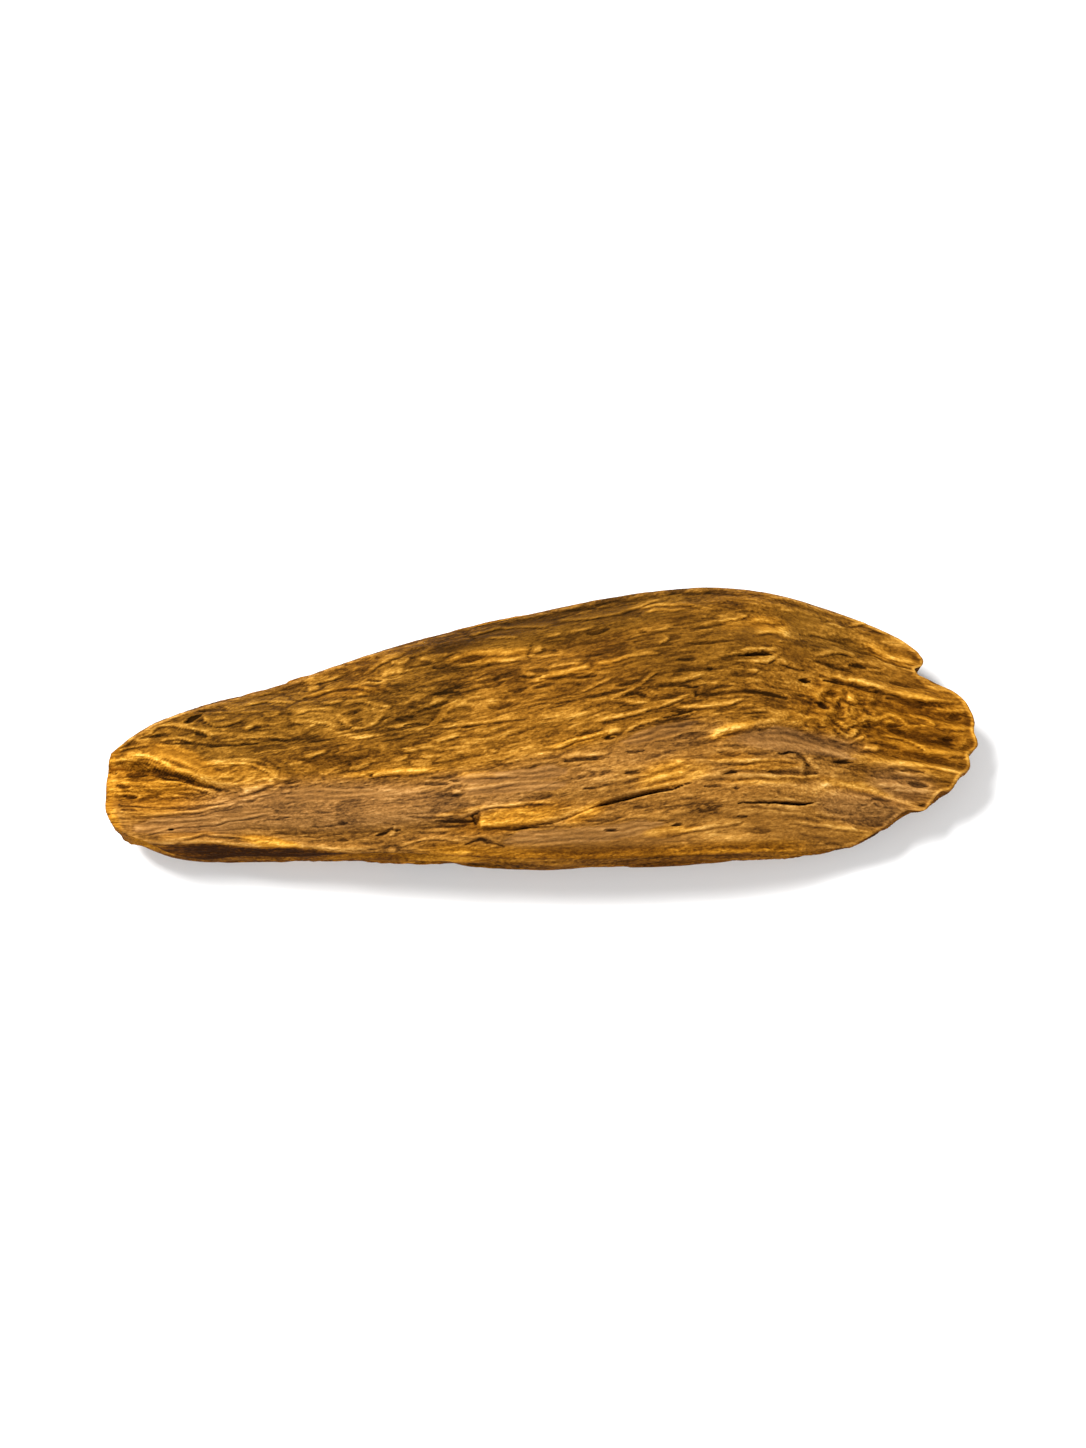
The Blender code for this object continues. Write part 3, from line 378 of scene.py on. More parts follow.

# Cuts, pits and slits in the top, painted in shade as dark as they are deep: half width, depth, points (x,
# seen)
GROOVES = (
    (0.20, 0.17, ((-27.3, -2.45), (-26.2, -2.95), (-24.4, -3.6), (-22.0, -4.35))),
    (0.14, 0.20, ((-30.0, -3.1), (-29.5, -3.1))),
    (0.16, 0.11, ((-29.2, -2.55), (-28.2, -2.45), (-27.0, -2.5))),
    (0.34, 0.18, ((-28.6, -3.2), (-27.2, -3.3))),
    (0.26, 0.17, ((-29.2, -4.0), (-28.4, -4.1))),
    (0.22, 0.13, ((-28.8, -4.7), (-27.8, -4.75))),
    (0.12, 0.16, ((-26.6, -3.4), (-24.4, -3.75))),
    (0.20, 0.13, ((-29.0, -5.6), (-27.6, -5.75))),
    (0.09, 0.06, ((-26.5, -6.15), (-23.0, -5.9), (-20.2, -5.3))),
    (0.10, 0.08, ((-26.8, -5.6), (-23.6, -5.45), (-21.4, -5.1))),
    (0.15, 0.20, ((-25.65, -7.0), (-25.35, -7.0))),
    (0.15, 0.10, ((-16.2, -7.4), (-15.2, -7.5))),
    (0.14, 0.10, ((-13.9, -7.6), (-13.3, -7.65))),
    (0.17, 0.18, ((-11.5, -7.3), (-10.9, -7.15), (-10.2, -6.8))),
    (0.17, 0.13, ((-13.9, -6.5), (-13.3, -6.5))),
    (0.15, 0.20, ((-10.1, -7.0), (-9.8, -7.0))),
    (0.15, 0.14, ((-26.0, -1.1), (-24.0, -1.1), (-21.8, -1.2), (-19.6, -1.15))),
    (0.24, 0.30, ((-24.4, 0.35), (-23.5, 0.8))),
    (0.22, 0.16, ((-27.1, -0.6), (-26.1, -0.45))),
    (0.18, 0.16, ((-24.0, -0.4), (-23.1, -0.6))),
    (0.26, 0.12, ((-13.6, 0.9), (-12.3, 1.15))),
    (0.14, 0.16, ((-12.0, 3.2), (-11.0, 3.2))),
    (0.12, 0.22, ((-11.8, -3.05), (-11.5, -3.45))),
    (0.12, 0.07, ((-6.0, 6.6), (-5.4, 6.45), (-4.8, 6.1))),
    (0.14, 0.10, ((-1.7, 7.8), (1.1, 8.0), (3.9, 8.2), (6.4, 8.5))),
    (0.10, 0.16, ((-0.9, 5.6), (-0.85, 4.6))),
    (0.12, 0.18, ((-0.3, 3.35), (1.7, 3.5), (3.3, 3.9))),
    (0.14, 0.18, ((1.8, 3.35), (3.9, 3.5))),
    (0.11, 0.14, ((-1.7, 3.4), (-0.3, 3.55))),
    (0.20, 0.20, ((5.5, 2.2), (6.4, 2.45), (7.2, 2.2))),
    (0.17, 0.26, ((4.2, -0.75), (4.8, -0.75))),
    (0.11, 0.16, ((1.5, -0.95), (3.0, -0.45), (4.4, -0.1))),
    (0.11, 0.18, ((1.5, -2.35), (3.0, -2.15), (4.5, -1.95))),
    (0.11, 0.14, ((8.0, 0.65), (10.4, 1.3))),
    (0.16, 0.20, ((5.7, -1.7), (6.6, -1.65))),
    (0.15, 0.20, ((5.3, -3.1), (6.4, -3.1))),
    (0.15, 0.22, ((4.4, -7.0), (5.1, -7.0))),
    (0.15, 0.20, ((8.7, -6.7), (9.4, -6.6))),
    (0.16, 0.16, ((-7.4, 2.2), (-5.8, 2.4))),
    (0.20, 0.14, ((-8.7, 1.1), (-7.2, 1.4), (-6.0, 1.8))),
    (0.13, 0.06, ((-7.9, 0.1), (-7.1, 1.1), (-6.3, 1.9))),
    (0.15, 0.16, ((-9.3, 0.2), (-7.8, 0.3))),
    (0.16, 0.18, ((-5.4, 0.05), (-4.2, 0.2))),
    (0.15, 0.18, ((-8.2, -3.8), (-6.5, -3.8))),
    (0.14, 0.16, ((-6.2, -3.6), (-5.5, -3.6))),
    (0.22, 0.14, ((-7.3, -6.3), (-4.7, -6.4))),
    (0.14, 0.28, ((-4.7, -5.9), (-4.55, -6.7))),
    (0.11, 0.18, ((-2.7, -7.1), (-1.7, -6.95), (-0.3, -6.75))),
    (0.07, 0.05, ((-0.3, -6.75), (1.6, -6.2), (3.0, -5.6))),
    (0.15, 0.40, ((3.9, -5.2), (5.0, -4.95), (6.0, -4.75), (7.2, -4.4), (8.7, -4.05), (10.0, -3.7))),
    (0.15, 0.20, ((2.5, -4.15), (3.3, -4.15))),
    (0.17, 0.18, ((-5.3, -7.9), (-4.4, -7.6), (-3.6, -7.8), (-2.6, -8.0))),
    (0.17, 0.40, ((13.4, 5.0), (14.7, 5.02), (15.9, 5.0))),
    (0.15, 0.24, ((11.0, 4.0), (11.4, 4.0))),
    (0.13, 0.18, ((16.4, 4.3), (17.9, 3.95))),
    (0.26, 0.40, ((17.6, 3.2), (18.5, 3.1))),
    (0.12, 0.16, ((8.9, 2.9), (10.6, 2.7))),
    (0.12, 0.18, ((10.5, 2.8), (10.5, 1.9))),
    (0.20, 0.18, ((12.9, 2.5), (14.7, 2.4), (16.7, 2.0))),
    (0.12, 0.14, ((8.7, 1.15), (10.2, 1.2))),
    (0.14, 0.26, ((16.0, -1.75), (17.2, -1.65))),
    (0.15, 0.15, ((17.1, -1.66), (17.6, -1.75), (18.0, -2.1), (18.3, -2.7))),
    (0.24, 0.28, ((20.1, -2.3), (21.1, -2.35))),
    (0.16, 0.20, ((12.3, -3.1), (13.4, -3.0))),
    (0.34, 0.18, ((15.2, -2.95), (17.0, -3.1), (18.6, -3.2))),
    (0.15, 0.12, ((20.25, 1.95), (20.35, 1.1))),
    (0.14, 0.10, ((20.8, 1.5), (20.9, 0.9))),
    (0.20, 0.12, ((18.3, 1.95), (18.9, 1.85))),
    (0.15, 0.20, ((11.1, -4.0), (12.1, -4.0))),
    (0.13, 0.18, ((12.9, -4.15), (13.3, -4.15))),
    (0.14, 0.30, ((13.3, -5.1), (15.9, -5.1), (18.3, -5.25))),
    (0.19, 0.34, ((15.6, -5.12), (17.2, -5.2), (18.4, -5.25))),
    (0.15, 0.20, ((13.1, -6.0), (13.7, -6.0))),
    (0.14, 0.22, ((26.0, -5.35), (26.4, -5.4))),
    (0.26, 0.30, ((18.7, 1.7), (19.6, 1.3))),
    (0.20, 0.22, ((19.2, 2.4), (20.1, 2.3))),
    (0.20, 0.20, ((22.2, 1.3), (22.8, 0.8))),
    (0.20, 0.22, ((23.7, 0.25), (24.7, 0.15))),
    (0.18, 0.26, ((19.3, 3.15), (21.1, 2.85), (23.1, 2.45))),
    (0.18, 0.16, ((23.6, 2.0), (25.7, 1.65), (27.6, 1.4))),
    (0.18, 0.22, ((23.1, 4.95), (24.4, 4.4), (25.5, 4.0))),
    (0.26, 0.24, ((21.2, 4.3), (22.2, 4.2))),
    (0.26, 0.20, ((28.1, 0.65), (28.9, 0.6))),
    (0.28, 0.18, ((27.4, -0.8), (28.2, -0.85))),
    (0.26, 0.13, ((21.8, 0.15), (22.9, 0.15))),
    (0.30, 0.13, ((23.6, 0.1), (25.0, -0.35))),
    (0.24, 0.13, ((22.5, -0.95), (24.3, -1.4))),
    (0.28, 0.12, ((24.6, 1.7), (26.2, 1.3))),
    (0.18, 0.20, ((28.0, -2.0), (29.1, -2.1))),
    (0.17, 0.26, ((24.4, -3.05), (25.2, -2.95), (26.1, -3.05))),
    (0.26, 0.24, ((25.3, -3.8), (26.6, -3.95))),
)

# Smooth places where few strands stand up: centre (x, seen), half length, half width, turn in degrees
QUIET_PATCH = (4.5, 5.6, 8.5, 2.9, 8.0)
SMOOTH_PATCHES = (
    (17.2, -1.05, 4.2, 0.62, -5.0),
    (14.6, 6.4, 1.7, 0.8, -4.0),
    (17.9, 7.3, 1.4, 0.6, -15.0),
    (3.0, -7.9, 6.5, 0.6, 2.0),
    (-3.5, 6.2, 4.5, 0.5, 13.0),
    (4.0, 7.6, 3.6, 0.5, 14.0),
    (8.4, 7.6, 1.6, 0.7, 10.0),
    (-24.6, -2.3, 2.6, 0.5, -20.0),
    (17.3, 5.2, 0.9, 0.7, 0.0),
)

# Rings round small knots: centre (x, seen), half length, half width, distance from ring to ring
RINGS = (
    (2.9, -3.1, 1.5, 0.65, 0.42),
    (10.9, -5.5, 1.3, 0.7, 0.40),
    (-3.3, -1.6, 0.8, 0.5, 0.36),
    (22.8, -5.6, 1.7, 0.9, 0.42),
    (20.9, 0.9, 1.6, 2.1, 0.52),
)

# Smooth lens-shaped faces: half width at the start and the end, strength of the mauve, points (x, seen)
FACES = (
    (0.60, 0.50, 0.9, ((-27.8, -6.9), (-25.0, -6.6), (-22.0, -6.3), (-18.5, -5.8))),
    (0.66, 0.16, 1.3, ((15.0, -0.5), (17.0, -0.7), (19.0, -1.4), (21.5, -2.2))),
    (0.42, 0.50, 1.0, ((-5.4, -3.5), (-3.5, -3.4), (-1.5, -3.2), (1.5, -2.9))),
    (0.32, 0.42, 1.0, ((-5.4, -4.4), (-3.6, -4.25), (-1.0, -4.0), (1.5, -3.9))),
    (0.45, 0.35, 0.8, ((5.6, -1.0), (7.6, -0.4), (10.2, 0.3))),
    (0.55, 0.30, 0.9, ((-17.5, -4.7), (-14.5, -4.5), (-11.0, -4.5))),
    (0.70, 0.50, 0.9, ((-2.5, -7.7), (1.0, -7.5), (5.0, -7.1), (8.0, -6.6))),
)
FACE_STRIPE_SPACING = 0.36

# Golden flakes: centre (x, seen), half length, half width, turn in degrees, strength
GOLD_PATCHES = (
    (-24.6, -2.2, 2.8, 0.75, -20.0, 0.9),
    (-20.3, -3.2, 2.4, 0.85, -6.0, 0.45),
    (-29.7, -4.9, 0.4, 2.0, 0.0, 0.9),
    (-18.6, -7.9, 2.0, 0.42, -8.0, 1.2),
    (-24.2, -7.35, 2.0, 0.2, 4.0, 0.6),
    (-10.2, -3.05, 3.4, 0.3, 4.0, 0.8),
    (-13.5, 2.4, 2.8, 0.35, 5.0, 0.5),
    (-2.2, -6.25, 2.7, 0.42, 8.0, 1.0),
    (8.9, -3.3, 2.5, 0.7, 15.0, 0.8),
    (-5.5, -5.75, 1.8, 0.2, 8.0, 0.6),
    (-4.4, -3.2, 1.2, 0.25, 0.0, 0.5),
    (12.8, -2.0, 1.6, 0.35, 4.0, 0.6),
    (3.6, -5.35, 1.3, 0.3, 20.0, 0.3),
    (8.7, -7.1, 1.9, 0.4, 6.0, 0.8),
    (15.2, -2.55, 2.6, 0.4, 2.0, 0.8),
    (-3.6, 4.9, 3.0, 0.45, 7.0, 0.6),
    (-6.9, 0.8, 1.4, 0.35, 40.0, 0.25),
    (2.6, 4.0, 3.2, 0.4, 13.0, 0.5),
    (2.5, -0.9, 2.2, 0.3, 14.0, 0.7),
    (12.9, -0.2, 1.5, 0.45, 20.0, 1.0),
    (15.5, 7.1, 1.5, 0.6, -10.0, 0.8),
    (13.6, 7.2, 1.5, 0.5, 12.0, 0.5),
    (8.4, 8.25, 2.1, 0.35, 3.0, 0.35),
    (15.8, -3.6, 3.4, 0.3, 2.0, 0.6),
    (24.0, 5.0, 2.0, 0.45, -20.0, 0.7),
    (21.4, -4.1, 2.8, 0.3, -14.0, 0.7),
    (28.9, -1.3, 0.8, 0.4, 0.0, 1.0),
    (-6.6, -8.75, 1.5, 0.2, 4.0, 0.8),
)

# Tints: how much of the top is mauve, olive or orange, as ellipses with a strength
MAUVE_PATCHES = (
    (-14.0, -5.4, 11.0, 1.7, 2.0, 1.1),
    (-23.0, -6.4, 5.4, 1.1, 4.0, 1.0),
    (-5.0, -4.4, 6.0, 1.3, 2.0, 0.8),
    (3.5, -8.0, 8.5, 1.3, 3.0, 0.65),
    (17.2, -1.05, 4.6, 0.75, -5.0, 1.2),
    (7.5, -1.3, 4.5, 1.2, 16.0, 0.6),
    (22.0, -5.6, 3.8, 1.3, -8.0, 0.9),
    (24.6, -3.9, 2.4, 1.2, -15.0, 0.9),
    (2.5, -3.4, 3.2, 1.1, 6.0, 0.6),
)
OLIVE_PATCHES = (
    (-19.0, 0.2, 8.0, 2.6, 12.0, 0.9),
    (-9.5, 1.4, 4.5, 2.4, 12.0, 0.9),
    (-7.5, 4.4, 4.2, 1.8, 16.0, 0.8),
    (2.5, 7.4, 9.5, 1.5, 12.0, 1.2),
    (10.5, 5.8, 5.0, 2.8, 4.0, 0.6),
    (18.8, 6.6, 3.2, 1.6, -20.0, 0.8),
)
ORANGE_PATCHES = (
    (26.0, 0.0, 4.4, 2.6, 0.0, 0.85),
    (20.5, 1.4, 3.4, 2.0, 0.0, 0.6),
    (-27.0, -3.9, 3.6, 2.4, -8.0, 0.7),
    (-2.0, -6.2, 4.0, 0.8, 10.0, 0.8),
    (3.0, -5.8, 1.6, 0.5, 25.0, 0.7),
    (8.4, -3.1, 2.0, 0.8, 15.0, 0.7),
    (11.0, -7.4, 10.0, 1.6, 3.0, 0.15),
)

# A broad shade and two broad pale areas: centre (x, seen), half sizes, shares where they end and are full
SHADE_AREA = ((-1.0, 3.2), (11.0, 4.2), 1.2, 0.3)
SCOOP_PALE_AREA = ((-24.0, -6.6), (5.0, 1.3), 1.2, 0.4)
FRONT_PALE_AREA = ((15.5, -6.9), (8.0, 1.6), 1.2, 0.4)

# Smaller pale (above 0) and dark (below 0) areas: centre, half length, half width, turn, strength
AREAS = (
    (-9.5, 4.5, 1.9, 1.0, 18.0, 1.3),
    (-3.0, 4.2, 1.6, 0.6, 10.0, 0.5),
    (-11.2, -8.1, 1.5, 0.5, 0.0, -0.8),
    (-21.0, -7.6, 1.3, 0.3, 0.0, -0.6),
    (-26.8, -7.5, 0.9, 0.4, -20.0, -1.0),
    (-17.2, -5.3, 1.0, 0.5, 0.0, -0.6),
    (-26.3, -4.4, 0.9, 0.4, 0.0, -0.6),
    (4.6, -5.2, 1.6, 0.4, 12.0, -0.5),
    (10.8, -5.5, 1.3, 0.6, 0.0, -0.6),
    (-5.7, -6.5, 1.2, 0.35, 0.0, -0.9),
    (16.7, -2.3, 1.2, 0.35, 0.0, 0.2),
    (14.4, -3.7, 2.4, 0.3, 0.0, 0.3),
    (19.5, -2.05, 1.4, 0.26, -14.0, -0.9),
    (-28.2, -2.8, 2.2, 0.4, 0.0, 0.9),
    (-14.8, -1.9, 1.1, 0.35, 0.0, 0.6),
    (-13.0, -2.8, 0.9, 0.4, 0.0, -0.6),
    (4.0, 6.5, 1.4, 0.35, 12.0, 0.6),
    (0.6, 5.2, 0.8, 0.6, 20.0, 0.5),
    (0.5, 2.4, 0.7, 0.4, 0.0, 0.6),
    (8.2, 0.0, 1.8, 0.5, 8.0, -0.5),
    (8.0, -2.8, 0.9, 0.5, 10.0, -0.6),
    (2.3, -4.4, 0.6, 0.7, 0.0, 0.6),
    (10.6, 3.9, 0.8, 0.4, -20.0, 0.5),
    (11.0, 2.4, 1.0, 0.5, 0.0, -0.5),
    (16.7, 5.0, 0.9, 0.4, -10.0, -0.5),
    (24.0, 2.4, 1.0, 0.4, -10.0, -0.6),
    (20.9, 0.3, 0.7, 0.3, -10.0, 0.6),
    (27.6, -0.8, 0.9, 0.7, 0.0, -0.5),
    (19.4, -6.6, 0.9, 0.4, 0.0, -0.5),
    (26.0, -5.2, 1.1, 0.5, 25.0, 0.7),
    (-29.2, -3.5, 0.8, 0.6, 0.0, 1.1),
    (-27.4, -3.9, 1.6, 0.3, 0.0, 0.6),
    (-26.4, -3.0, 2.2, 0.4, -15.0, -0.8),
    (-24.6, -4.8, 1.8, 0.5, 0.0, 0.7),
    (-28.6, -6.3, 1.6, 0.4, -35.0, 0.7),
    (-28.3, -5.2, 1.0, 0.5, 0.0, -0.7),
    (-29.0, -1.4, 0.8, 0.5, 30.0, -1.1),
    (-21.5, -2.1, 1.9, 0.8, -10.0, 0.9),
    (-21.5, -5.7, 0.9, 0.4, 0.0, -0.6),
    (-19.3, -1.6, 0.8, 0.4, 0.0, -0.5),
    (-18.3, -3.4, 0.9, 0.5, 0.0, 0.7),
    (-22.0, -4.2, 1.8, 0.4, -25.0, -0.6),
    (-20.9, -0.6, 1.2, 0.5, 0.0, 0.8),
    (-26.4, -2.3, 1.0, 0.3, -10.0, 0.6),
    (-24.8, 0.4, 1.0, 0.4, 25.0, 0.5),
    (-23.0, 0.7, 0.9, 0.5, 0.0, -0.6),
    (-20.5, 2.0, 3.0, 0.5, 17.0, 0.6),
    (-17.0, 0.7, 1.0, 0.6, 0.0, -0.8),
    (-15.4, 0.6, 2.4, 0.6, -3.0, 1.2),
    (-13.4, -0.4, 1.8, 0.5, 0.0, 1.2),
    (-11.5, 0.7, 1.2, 0.5, 0.0, 0.9),
    (-13.4, -1.9, 2.6, 0.95, -5.0, -1.3),
    (-16.2, -1.1, 1.4, 0.5, 0.0, -0.5),
    (-16.2, -3.4, 1.3, 0.5, 0.0, -0.7),
    (-13.6, 2.9, 0.8, 0.9, 70.0, -0.7),
    (-13.2, -5.8, 0.9, 0.9, 0.0, -0.7),
    (-12.2, -8.0, 1.2, 0.4, 0.0, 0.5),
    (-10.0, -2.0, 1.2, 0.4, 0.0, -0.8),
    (-10.5, 4.6, 2.6, 0.5, 20.0, -0.8),
    (-9.8, -4.3, 1.8, 0.5, 0.0, 0.8),
    (-9.7, -0.9, 1.2, 0.8, 0.0, -0.7),
    (-8.6, -2.4, 1.4, 0.4, 0.0, -0.7),
    (-6.5, -5.2, 1.2, 0.9, 0.0, -0.8),
    (-8.8, 3.4, 1.2, 0.4, 10.0, 0.5),
    (-7.2, 5.6, 3.4, 0.7, 13.0, -1.1),
    (-6.3, 2.5, 1.5, 0.5, 5.0, -1.1),
    (-5.0, -8.5, 2.8, 0.4, 0.0, 0.9),
    (-1.4, -8.5, 1.2, 0.4, 0.0, 0.9),
    (-4.8, 1.5, 2.0, 0.7, 5.0, 1.6),
    (-1.6, 5.2, 2.6, 0.6, 8.0, 1.1),
    (-5.0, -1.3, 0.8, 0.4, 0.0, 0.5),
    (-5.0, -3.8, 1.2, 0.9, 90.0, 0.5),
    (-3.0, -2.2, 0.8, 0.35, 0.0, -0.5),
    (-2.4, 3.5, 1.2, 0.55, 0.0, -1.5),
    (-2.5, -5.4, 0.9, 0.5, 0.0, 0.7),
    (-0.3, -5.6, 0.9, 0.4, 0.0, -0.6),
    (-1.2, -1.6, 0.9, 0.7, 0.0, 0.6),
    (1.2, 6.5, 1.2, 0.5, 10.0, 0.5),
    (1.8, -6.5, 1.0, 0.4, 0.0, 0.6),
    (2.0, 0.7, 2.2, 0.5, 0.0, 1.0),
    (2.6, -5.8, 1.4, 0.4, 10.0, 0.6),
    (3.2, -3.1, 1.2, 0.6, 0.0, 0.5),
    (5.0, -2.4, 1.8, 0.5, 0.0, 0.9),
    (5.5, -5.2, 1.6, 0.45, 8.0, -1.0),
    (4.4, 5.6, 1.4, 1.1, 20.0, -0.9),
    (4.0, 3.6, 1.0, 0.4, 0.0, -0.6),
    (6.8, -7.4, 1.2, 0.4, 0.0, 0.6),
    (8.0, 8.6, 1.8, 0.6, 10.0, 1.1),
    (9.8, 7.3, 1.0, 0.6, 0.0, -0.8),
    (9.4, 0.55, 2.0, 0.5, 5.0, -1.2),
    (9.0, 2.6, 2.6, 0.7, 0.0, -0.5),
    (6.4, 3.2, 1.2, 0.7, 0.0, -0.7),
    (8.9, 4.6, 1.6, 0.8, 0.0, -0.4),
    (9.5, -3.3, 2.2, 0.5, 5.0, 0.9),
    (10.8, -4.1, 1.5, 0.4, 5.0, 0.6),
    (11.0, -5.3, 1.2, 0.5, 0.0, -0.9),
    (11.6, -3.4, 1.4, 0.5, 0.0, 0.6),
    (15.0, -4.6, 1.2, 0.4, 0.0, -0.7),
    (11.8, 5.4, 0.8, 0.5, 0.0, 0.6),
    (11.9, -6.9, 2.2, 0.8, 0.0, 1.1),
    (12.7, -7.6, 1.8, 0.5, 0.0, 0.8),
    (13.8, 0.8, 1.4, 0.5, 0.0, -1.1),
    (15.1, 2.1, 1.5, 0.6, -15.0, -1.0),
    (13.2, 8.5, 1.4, 0.5, 0.0, -0.6),
    (18.8, 7.2, 2.2, 1.1, -20.0, 0.8),
    (19.6, 0.0, 1.4, 0.5, -15.0, -0.8),
    (16.4, -2.0, 1.2, 0.6, 0.0, -0.9),
    (11.7, -0.6, 0.8, 0.7, 0.0, 0.6),
    (17.2, 1.8, 2.4, 0.5, 0.0, -1.0),
    (17.0, 6.5, 0.9, 0.6, 0.0, 0.9),
    (17.5, 0.7, 1.5, 0.35, 0.0, -0.6),
    (17.5, -4.1, 4.2, 0.6, -5.0, 1.0),
    (18.0, 2.6, 1.6, 0.4, -10.0, 0.9),
    (19.6, 2.2, 1.0, 0.35, 0.0, 0.9),
    (20.3, 3.5, 0.7, 0.4, 0.0, -0.6),
    (21.9, 3.6, 1.1, 0.4, 0.0, 0.5),
    (20.5, -6.3, 1.4, 1.0, 0.0, 0.6),
    (20.9, -3.5, 1.6, 0.4, 0.0, -1.1),
    (22.8, -0.6, 1.0, 0.5, -20.0, -0.7),
    (23.0, 6.3, 0.8, 0.5, -20.0, -0.7),
    (23.4, 0.5, 1.0, 0.4, 0.0, 0.6),
    (24.5, 4.0, 2.0, 0.8, -10.0, 0.9),
    (23.6, -4.8, 1.6, 0.4, -15.0, 0.6),
    (25.0, 5.4, 0.9, 0.5, -30.0, 0.9),
    (25.2, -3.4, 2.4, 1.4, -25.0, 0.8),
    (28.0, -3.2, 0.9, 0.7, 30.0, 0.8),
)


def ease(value):
    """0 to 1 with level ends, for a value that runs from 0 to 1."""
    value = np.clip(value, 0.0, 1.0)
    return value * value * (3.0 - 2.0 * value)


def ramp(value, start, full):
    """0 up to start, 1 from full on, and smooth between; it falls where start is above full."""
    return ease((value - start) / (full - start))


def profile(points, x):
    """A smooth curve of height over x, through the given (x, height) points."""
    known_x, known_z = np.array(points, float).T
    slope = np.gradient(known_z, known_x)
    x = np.clip(x, known_x[0], known_x[-1])
    left = np.clip(np.searchsorted(known_x, x) - 1, 0, len(known_x) - 2)
    span = known_x[left + 1] - known_x[left]
    t = (x - known_x[left]) / span
    start = (1 + 2 * t) * (1 - t) ** 2 * known_z[left] + t * (1 - t) ** 2 * span * slope[left]
    end = t * t * (3 - 2 * t) * known_z[left + 1] + t * t * (t - 1) * span * slope[left + 1]
    return start + end


def curve_through(points, count):
    """count + 1 evenly spaced points on a smooth curve through the given (x, y) points."""
    points = np.array(points, float)
    steps = np.linalg.norm(np.diff(points, axis=0), axis=1)
    knots = np.concatenate([[0.0], np.cumsum(steps)])
    fine = np.linspace(0.0, knots[-1], CURVE_STEPS * len(points))
    line = np.stack([profile(np.stack([knots, axis], 1), fine) for axis in points.T], 1)
    walked = np.concatenate([[0.0], np.cumsum(np.linalg.norm(np.diff(line, axis=0), axis=1))])
    wanted = np.linspace(0.0, walked[-1], count + 1)
    return np.stack([np.interp(wanted, walked, axis) for axis in line.T], 1)


def smooth_noise(x, y, seed):
    """Smooth random relief between -1 and 1, with features about one unit across."""
    lattice = np.random.default_rng(seed).uniform(-1.0, 1.0, (LATTICE, LATTICE))
    column, row = np.floor(x).astype(int), np.floor(y).astype(int)
    across, up = ease(x - column), ease(y - row)
    next_column, next_row = (column + 1) % LATTICE, (row + 1) % LATTICE
    column, row = column % LATTICE, row % LATTICE
    low = lattice[column, row] * (1 - across) + lattice[next_column, row] * across
    high = lattice[column, next_row] * (1 - across) + lattice[next_column, next_row] * across
    return low * (1 - up) + high * up


def noise_of(kind, x, y):
    """One of the named noises."""
    strength, length, width, seed = kind
    return strength * smooth_noise(x / length, y / width, seed)


def crown_height(x, y):
    """The bare top: a low crown along the piece that falls to the two rims."""
    back, front = profile(BACK_FLOW, x), profile(FRONT_FLOW, x)
    middle = front + (back - front) * CROWN_PLACE
    behind = y > middle
    reach = np.where(behind, back - middle, middle - front)
    rim = np.where(behind, profile(BACK_RIM, x), profile(FRONT_RIM, x))
    share = np.clip(np.abs(y - middle) / reach, 0.0, PAST_RIM_LIMIT) ** SECTION_POWER
    return rim + (profile(CROWN, x) - rim) * (1 - share)


def seen_across(x, y):
    """How far up a point of the bare top lies in the view that places its features."""
    return np.sin(VIEW_RISE) * y + np.cos(VIEW_RISE) * crown_height(x, y) - VIEW_SHIFT


def grain_line(x, seen):
    """Which line of the grain a point lies on, as that line's place where the grain is level."""
    share = FRONT_SHARE + (1 - FRONT_SHARE) * ramp(seen, -HALF_WIDTH, FRONT_FADE_WIDTH - HALF_WIDTH)
    return seen - share * profile(GRAIN_CLIMB, x)


def flute_hollow(line):
    """0 on a flute's ridge and 1 in its bottom."""
    ridges = np.array(FLUTE_RIDGES)
    cell = np.interp(line, ridges, np.arange(len(ridges)))
    return np.sin(np.pi * cell) ** 2


def gouge_relief(x, line):
    """Hollows that the gouge left along the middle, and the flutes at the right end."""
    at_end = ramp(x, FLUTES_FROM, FLUTES_FULL)
    broad = GOUGE_DEPTH * np.sin(np.pi * (line / GOUGE_WIDTH + noise_of(GOUGE_WANDER, x, line))) ** 2
    flutes = FLUTE_DEPTH * flute_hollow(line)
    sweep = ramp(x, END_SWEEP_FROM, END_SWEEP_FULL) * ramp(x, END_SWEEP_END, END_SWEEP_OUT)
    return -(1 - at_end) * broad - at_end * flutes - END_SWEEP_DEPTH * sweep


def left_scoop(x, seen):
    """Depth of the scoop cut in from the left end."""
    under_ridge = profile(SCOOP_RIDGE, x) - seen
    fade = np.sqrt(np.clip((SCOOP_RIDGE[-1][0] - x) / SCOOP_RUN_OUT, 0.0, 1.0))
    fade = fade * ramp(x, SCOOP_CLOSED, SCOOP_OPEN)
    hollow = ramp(under_ridge, 0.0, SCOOP_LIP) * ramp(under_ridge, SCOOP_LIP + SCOOP_REACH, SCOOP_LIP)
    return SCOOP_DEPTH * fade * hollow


def leaf_pad(x, seen):
    """Height of the smooth leaf-shaped pad beside the scoop."""
    along, across = (x - PAD_PLACE[0]) / PAD_HALF_LENGTH, (seen - PAD_PLACE[1]) / PAD_HALF_WIDTH
    width = np.clip(1 - along ** 2, 0.02, 1.0) ** 0.8 * (1 + noise_of(PAD_RAGGEDNESS, x, seen))
    distance = np.abs(across) / width
    body = PAD_HEIGHT * ramp(distance, PAD_FLAT_SHARE + PAD_SLOPE_SHARE, PAD_FLAT_SHARE)
    return body * ramp(np.abs(along), 1.0, 0.9)


def front_face(x, seen):
    """Depth to which the steep face along the front has fallen below its lip."""
    return FACE_SLOPE * np.maximum(0.0, profile(FACE_LIP, x) - seen) * ramp(x, FACE_FROM, FACE_FULL)


